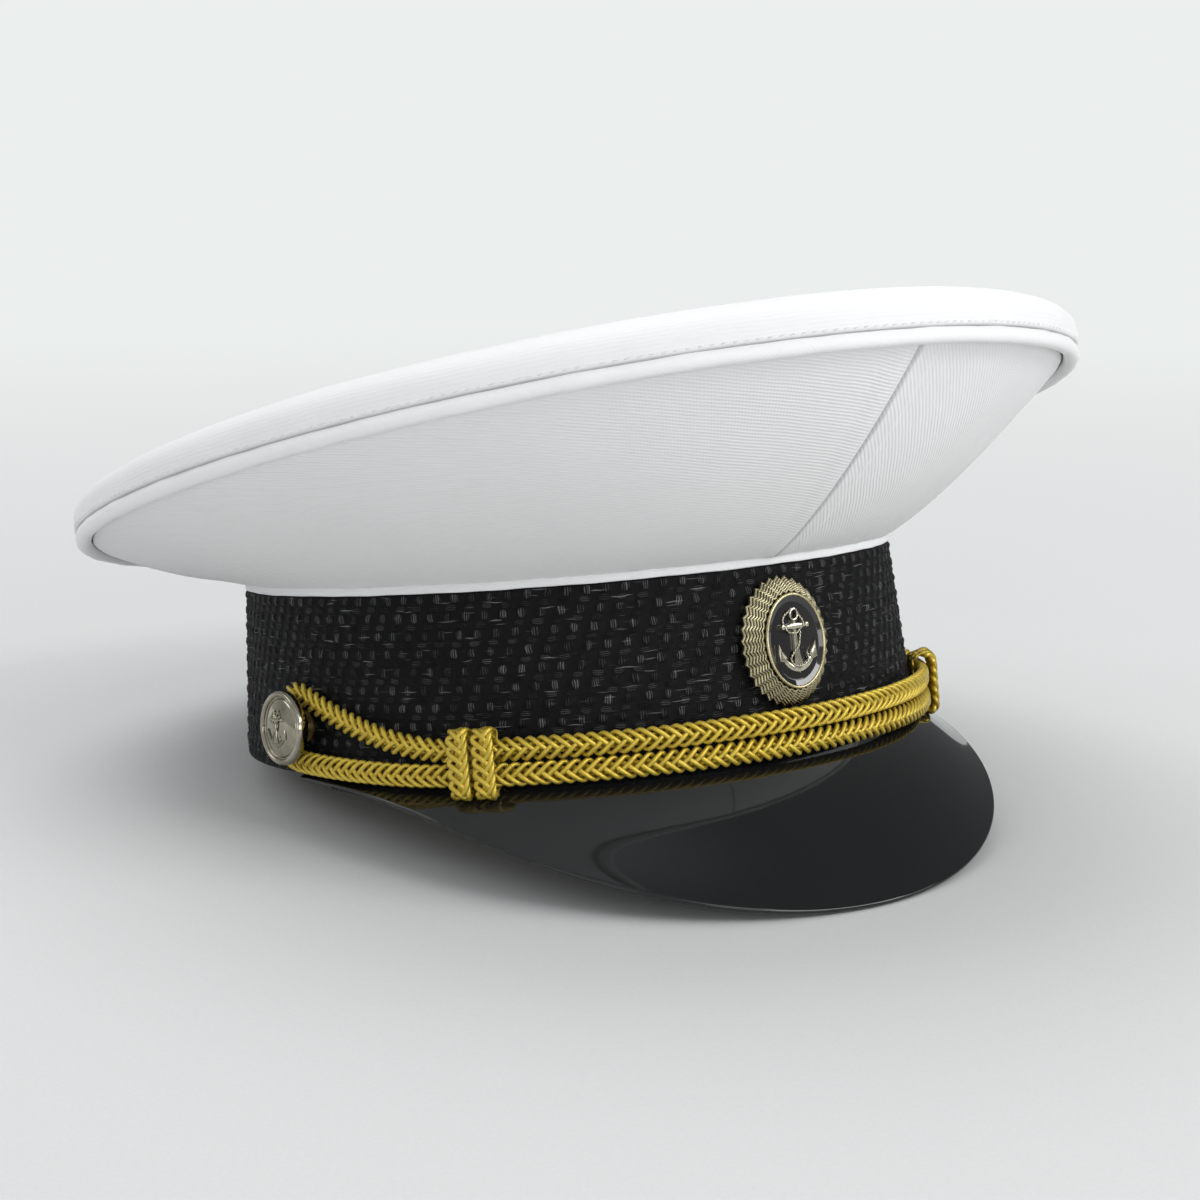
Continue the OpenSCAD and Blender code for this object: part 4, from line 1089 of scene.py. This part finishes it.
def cord_route():
    C, B, N = [], [], []

    def seg(s, a, z, na, nz):
        e = .01
        p = wallp(s, a, z)
        C.append(p); B.append((wallp(s, a + e * na, z + e * nz) - p) / e); N.append((wallp(s, a, z, e) - p) / e)

    def branch(s, z0, z1, ae, w, sgn, rev):
        a = np.linspace(ae, A_ALL, 160)
        a = a[::-1] if rev else a
        z = z0 + (z1 - z0) * ((A_ALL - a) / (A_ALL - ae)) ** w
        m = w * (z1 - z0) / (A_ALL - ae) * ((A_ALL - a) / (A_ALL - ae)) ** (w - 1)
        k = np.sqrt(1 + m * m)
        seg(s, a, z, sgn * m / k, sgn / k)

    def loop(s, rev):
        p = np.linspace(90 - UP_TURN, 270 - LOW_TURN, 120)[1:-1]
        p = p[::-1] if rev else p
        seg(s, LOOP_R * cosd(p), BUTTON_Z + LOOP_R * sind(p), cosd(p), sind(p))

    def front(z0, sgn, rev):
        t = np.linspace(-SPLIT_T, SPLIT_T, 420)[1:-1]
        t = t[::-1] if rev else t
        C.append(at(t, CORD_OFF, z0 + 0 * t)); B.append(np.array([0, 0, sgn * 1.0]) + 0 * C[-1]); N.append(rad(t))
    branch(-1, UP_Z, UP_E, UP_A, 1.55, 1, True)
    loop(-1, False)
    branch(-1, LOW_Z, LOW_E, LOW_A, 2, -1, False)
    front(LOW_Z, -1, False)
    branch(1, LOW_Z, LOW_E, LOW_A, 2, -1, True)
    loop(1, True)
    branch(1, UP_Z, UP_E, UP_A, 1.55, 1, False)
    front(UP_Z, 1, True)
    return np.concatenate(C), np.concatenate(B), np.concatenate(N)


def resample(C, extra, ds):
    """Even steps round a closed route."""
    X = np.concatenate([C, C[:1]])
    s = np.concatenate([[0], np.cumsum(np.linalg.norm(np.diff(X, axis=0), axis=1))])
    n = int(s[-1] / ds)
    q = np.arange(n) / n * s[-1]
    out = []
    for E in [C] + extra:
        E = np.concatenate([E, E[:1]])
        out.append(np.stack([np.interp(q, s, E[:, k]) for k in range(E.shape[1])], -1))
    return q, s[-1], out


def cyclic(points):
    """A smooth closed curve through (part of the turn, value, value), as 720 steps of one turn."""
    p = np.asarray(points, float)
    F = np.arange(720) / 720
    out = []
    for k in (1, 2):
        y = np.interp(F, p[:, 0], p[:, k], period=1)
        s = np.fft.rfft(y)
        out.append(np.fft.irfft(s * np.exp(-((2 * PI * np.arange(len(s)) * .03) ** 2) / 2), 720))
    return np.stack(out, -1)


# one strand of the left-hand group, as it goes once round the cord: (part of the turn, across, out)
STRAND = cyclic([(0, .36, .15), (.09, .12, .95), (.24, -.38, 1.16), (.40, -.9, .72), (.50, -1.1, -.05), (.60, -.88, -.82), (.74, -.1, -1.12), (.88, .5, -.66)])


def braid(b, q, L, put, A, Bv, r, pitch, lean=0.0, group=3, sides=8, mat=0):
    """A full braid of two groups of strands that meet in arrowheads down its face. put(C index, u, v) places
    points across and out from the route; lean moves the arrowheads' points off the middle."""
    m = max(1, round(L / pitch))
    loops = math.gcd(m, group)
    turns = group // loops
    for hand in (-1, 1):
        for j in range(loops):
            i = np.tile(np.arange(len(q)), turns)
            f = (np.concatenate([q + c * L for c in range(turns)]) * m / (group * L) + j / group + (hand > 0) / (2 * group)) % 1
            w = f * 720
            k = w.astype(int) % 720
            p = STRAND[k] + (STRAND[(k + 1) % 720] - STRAND[k]) * (w % 1)[:, None]
            x = -hand * p[:, 0]
            u = A * (x + lean * np.maximum(0, 1 - x * x))
            pts, ref = put(i, u, Bv * p[:, 1])
            b.tube(pts, r[i] if hasattr(r, "__len__") else r, sides, True, ref, mat)


def chin_cords():
    C, B, N = cord_route()
    q, L, (C, B, N) = resample(C, [B, N], .4)
    for _ in range(3):  # the joins between stretches are eased
        B = (B + np.roll(B, 1, 0) + np.roll(B, -1, 0)) / 3; N = (N + np.roll(N, 1, 0) + np.roll(N, -1, 0)) / 3
    B, N = unit(B), unit(N)
    N = unit(N - B * (N * B).sum(-1, keepdims=True))
    b = Build()

    def put(i, u, v):
        return C[i] + B[i] * u[:, None] + N[i] * v[:, None], N[i]
    braid(b, q, L, put, 2.4, 1.0, .64, 3.05, .06)
    b.obj("chin_cord_braid", [gold], CAP, "cord_gold", ["chin_cord_upper", "chin_cord_lower", "cord_loop_right", "cord_loop_left"])
    return L


CORD_L = chin_cords()


def slider(side_name, tc, body):
    wrap = spline(np.array([(6.75, -1.2), (6.77, 5), (6.75, 11.4), (6.05, 13.0), (4.3, 13.5), (2.4, 13.3), (1.1, 12.5), (.95, 9), (.95, 4), (.98, .3), (1.5, -.9), (3.0, -1.9), (4.6, -2.7), (6.0, -2.6)], float), 110, True)
    q, L, (C,) = resample(wrap, [], L_STEP)
    d = unit(np.roll(C, -1, 0) - np.roll(C, 1, 0))
    nrm = np.stack([d[:, 1], -d[:, 0]], -1)  # out of the loop
    f = smooth((C[:, 0] - 2.6) / 3.0)  # the turns are flat behind the cords, where there is little room
    r = .34 + .4 * f

    def put_at(t0):
        def put(i, u, v):
            v2 = v * (.15 + .85 * f[i])
            off, z = C[i, 0] + nrm[i, 0] * v2, C[i, 1] + nrm[i, 1] * v2
            t = t0 + np.degrees(u / (R1 + 4.5))
            ref = rad(t) * nrm[i, :1] + np.array([0, 0, 1.0]) * nrm[i, 1:]
            return at(t, off, z), ref
        return put
    names = {}
    for part, dt in (("front", -1.95 if tc > 0 else 1.95), ("rear", 1.95 if tc > 0 else -1.95)):
        b = Build()
        braid(b, q, L, put_at(tc + dt), 2.15, .5, r, 2.95, .52)
        names[part] = b.obj(f"slider_{side_name}_{part}_wrap_braid", [gold], body, "cord_gold", [f"slider_{side_name}_{part}_wrap"])


L_STEP = .36
slider("right", -53.0, "slider_right")
slider("left", 53.0, "slider_left")

# ------------------------------------------------------------------ buttons
BUTTON = [(0, 9.5), (1.2, 9.48), (2.6, 9.38), (4.0, 9.17), (5.2, 8.92), (6.3, 8.6), (7.1, 8.3), (7.5, 8.12), (7.72, 7.96), (7.86, 7.78), (8.02, 7.7), (8.2, 7.76), (8.32, 8.0), (8.42, 8.32), (8.62, 8.58), (8.9, 8.7), (9.2, 8.7), (9.5, 8.56), (9.74, 8.26), (9.88, 7.86), (9.95, 7.3), (9.9, 6.7), (9.72, 6.15), (9.4, 5.8), (8.9, 5.7), (0, 5.7)]


def button_dome(x, y):
    rr = np.sqrt(x * x + y * y)
    p = np.array(BUTTON[:9])
    return np.interp(rr, p[:, 0], p[:, 1]) - 9.0


def button(side_name, s):
    m = on_band(s * BUTTON_T, BUTTON_Z)
    body = f"button_{side_name}"
    b = Build()
    prof = spline(np.array(BUTTON[:-1]), 74)
    lathe(b, m, np.concatenate([prof, [BUTTON[-1]]]), 112)
    b.obj(f"button_{side_name}_face_shell", [nickel], body, "button_nickel", [f"button_{side_name}_face"], merge=1e-7, sharp=60)
    b = Build()
    anchor(b, m, 10.4, 8.85, .55, button_dome)
    for pts in (ROPE, ROPE2):
        rope(b, m, [(x, y, 9.13 + z * .8) for x, y, z in pts], 10.4 / 14, .2, button_dome)
    b.obj(f"button_{side_name}_emblem_relief", [nickel], body, "button_nickel", [f"button_{side_name}_emblem"], sharp=32)


button("right", -1)
button("left", 1)

stitches.obj("crown_seam_stitches", [thread_w], CAP, "crown_cloth")

# ------------------------------------------------------------------ the CAD's own parts that stay
for n, m in {"crown_grommet": plastic_w, "grommet_joiner": steel, "crown_front_stay": plastic_d, "band_stiffener": board, "sweatband_reed": reed_cloth, "eyelet_right": brass, "eyelet_left": brass,
             "badge_backplate": badge_gold, "badge_stud": brass, "badge_washer": brass, "badge_nut": brass}.items():
    o = bpy.data.objects[n]
    for k in range(max(1, len(o.material_slots))):
        if not o.material_slots:
            o.data.materials.append(m)
        o.material_slots[k].material = m
for sd in ("right", "left"):
    for p, m in (("back", nickel), ("shank", steel), ("washer", steel), ("split_pin", steel)):
        o = bpy.data.objects[f"button_{sd}_{p}"]
        for k in range(len(o.material_slots)):
            o.material_slots[k].material = m

# ------------------------------------------------------------------ camera
az, el, dist, focal, cx, cy, alpha = -0.6125443153627366, 0.19636456934170599, 621.8121228550813, 2098.5961367011896, 6.994720329277899, 35.91657071890993, 0.14107921567892062
c_right = np.array([math.cos(az), math.sin(az), 0])
c_back = np.array([math.sin(az) * math.cos(el), -math.cos(az) * math.cos(el), math.sin(el)])
c_up = np.cross(c_back, c_right)
c_pos = c_back * dist + c_right * cx + c_up * cy
dl = TILT - alpha
turn = np.array([[1, 0, 0], [0, math.cos(dl), math.sin(dl)], [0, -math.sin(dl), math.cos(dl)]])
c_right, c_back, c_up = turn @ c_right, turn @ c_back, turn @ c_up
c_pos = (turn @ c_pos + np.array([0, SHIFT_Y, SHIFT_Z])) * .001
cam_data = bpy.data.cameras.new("camera")
cam_data.sensor_fit = "HORIZONTAL"
cam_data.sensor_width = 36.0
cam_data.lens = focal * 36.0 / 1200.0
cam_data.clip_start, cam_data.clip_end = 0.01, 50.0
cam = bpy.data.objects.new("camera", cam_data)
bpy.context.scene.collection.objects.link(cam)
cam.matrix_world = Matrix([[c_right[i], c_up[i], c_back[i], c_pos[i]] for i in range(3)] + [[0, 0, 0, 1]])
bpy.context.scene.camera = cam

# ------------------------------------------------------------------ floor and light
def floor():
    """A wide pale floor. Far out it fades to the colour of the studio's air, so no edge shows."""
    n, rs = 96, [.15, .3, .5, .8, 1.2, 1.8, 2.6, 4.0, 7.0, 12.0]
    a = np.arange(n) * 2 * PI / n
    V, F = [(0.0, 0.0, 0.0)], []
    for r in rs:
        V += [(r * math.cos(q), r * math.sin(q), 0.0) for q in a]
    for j in range(n):
        F.append((0, 1 + j, 1 + (j + 1) % n))
        for i in range(len(rs) - 1):
            F.append((1 + i * n + j, 1 + (i + 1) * n + j, 1 + (i + 1) * n + (j + 1) % n, 1 + i * n + (j + 1) % n))
    me = bpy.data.meshes.new("studio_floor")
    me.from_pydata(V, [], F)
    k = Mat("studio_paper", FLOOR, 1.0, Specular_IOR_Level=0.0)
    xyz = k.xyz(k.coords("Object"))
    far = k.map(k.math("SQRT", k.math("ADD", k.math("MULTIPLY", xyz[0], xyz[0]), k.math("MULTIPLY", xyz[1], xyz[1]))), .3, 1.7, 0, 1)
    far = k.math("MULTIPLY", far, k.math("SUBTRACT", 2.0, far))
    fibre = k.map(k.noise(k.coords("Object"), 900.0, 2.0), .3, .7, .97, 1.0)
    k.set("Base Color", k.mix(k.math("MULTIPLY", fibre, k.math("SUBTRACT", 1.0, far)), (0, 0, 0), FLOOR))
    k.set("Emission Color", (*AIR, 1))
    k.set("Emission Strength", far)
    me.materials.append(k.m)
    o = bpy.data.objects.new("studio_floor", me)
    bpy.context.scene.collection.objects.link(o)
    return o


AIR, FLOOR = (0.83, 0.86, 0.85), (0.66, 0.67, 0.667)
floor()


def softbox(name, az, el, dist, sx, sy, power, target=(0, 0, .06), colour=(1, 1, 1)):
    """A light panel seen from the cap at az degrees round from the front, towards the wearer's left, and el degrees up."""
    d = bpy.data.lights.new(name, "AREA")
    d.shape = "RECTANGLE"; d.size = sx; d.size_y = sy; d.energy = power; d.color = colour
    o = bpy.data.objects.new(name, d)
    bpy.context.scene.collection.objects.link(o)
    loc = Vector((math.sin(math.radians(az)) * math.cos(math.radians(el)), -math.cos(math.radians(az)) * math.cos(math.radians(el)), math.sin(math.radians(el)))) * dist + Vector(target)
    o.location = loc
    o.rotation_euler = (Vector(target) - loc).to_track_quat("-Z", "Y").to_euler()
    o.visible_camera = False
    return o


softbox("overhead", 168, 67, 2.0, 1.9, 1.5, 21)
softbox("front_right", 27, 32, 1.7, 1.35, .34, 10.0)
softbox("front_high", 5, 50, 2.0, .9, .7, 4.0)
softbox("front_low", -4, 11, 1.9, 1.3, .4, 4.9)
softbox("front_left", 47, 18, 1.9, .8, .3, 2.6)
softbox("rear_left", -128, 30, 1.9, .8, .5, 3.0)
softbox("left_low", -60, 10, 1.9, 1.0, .4, 2.0)
world = bpy.data.worlds.new("studio")
world.use_nodes = True
wn, wl = world.node_tree.nodes, world.node_tree.links
bg = wn["Background"]
seen = wn.new("ShaderNodeBackground"); seen.inputs[0].default_value = (*AIR, 1)
dirn = wn.new("ShaderNodeTexCoord"); sep = wn.new("ShaderNodeSeparateXYZ"); ramp = wn.new("ShaderNodeMapRange")
wl.new(dirn.outputs["Generated"], sep.inputs[0]); wl.new(sep.outputs[2], ramp.inputs[0])
for k, v in enumerate((0.0, 0.8, 0.39, 0.66)):
    ramp.inputs[k + 1].default_value = v
dark = wn.new("ShaderNodeVectorMath"); dark.operation = "DOT_PRODUCT"; dark.inputs[1].default_value = (0.816, 0.071, 0.574)
wl.new(dirn.outputs["Generated"], dark.inputs[0])
flag = wn.new("ShaderNodeMapRange"); flag.interpolation_type = "SMOOTHSTEP"  # a black flag to the cap's left keeps the visor dark
wl.new(dark.outputs["Value"], flag.inputs[0])
for k, v in enumerate((0.3, 0.76, 1.0, 0.36)):
    flag.inputs[k + 1].default_value = v
mul = wn.new("ShaderNodeMath"); mul.operation = "MULTIPLY"
wl.new(ramp.outputs[0], mul.inputs[0]); wl.new(flag.outputs[0], mul.inputs[1])
wl.new(mul.outputs[0], bg.inputs[1])
bg.inputs[0].default_value = (0.96, 0.975, 1.0, 1)
path = wn.new("ShaderNodeLightPath"); mixs = wn.new("ShaderNodeMixShader")
wl.new(path.outputs["Is Camera Ray"], mixs.inputs[0]); wl.new(bg.outputs[0], mixs.inputs[1]); wl.new(seen.outputs[0], mixs.inputs[2])
wl.new(mixs.outputs[0], wn["World Output"].inputs[0])
bpy.context.scene.world = world
bpy.context.scene.view_settings.view_transform = "Standard"
bpy.context.scene.view_settings.look = "None"
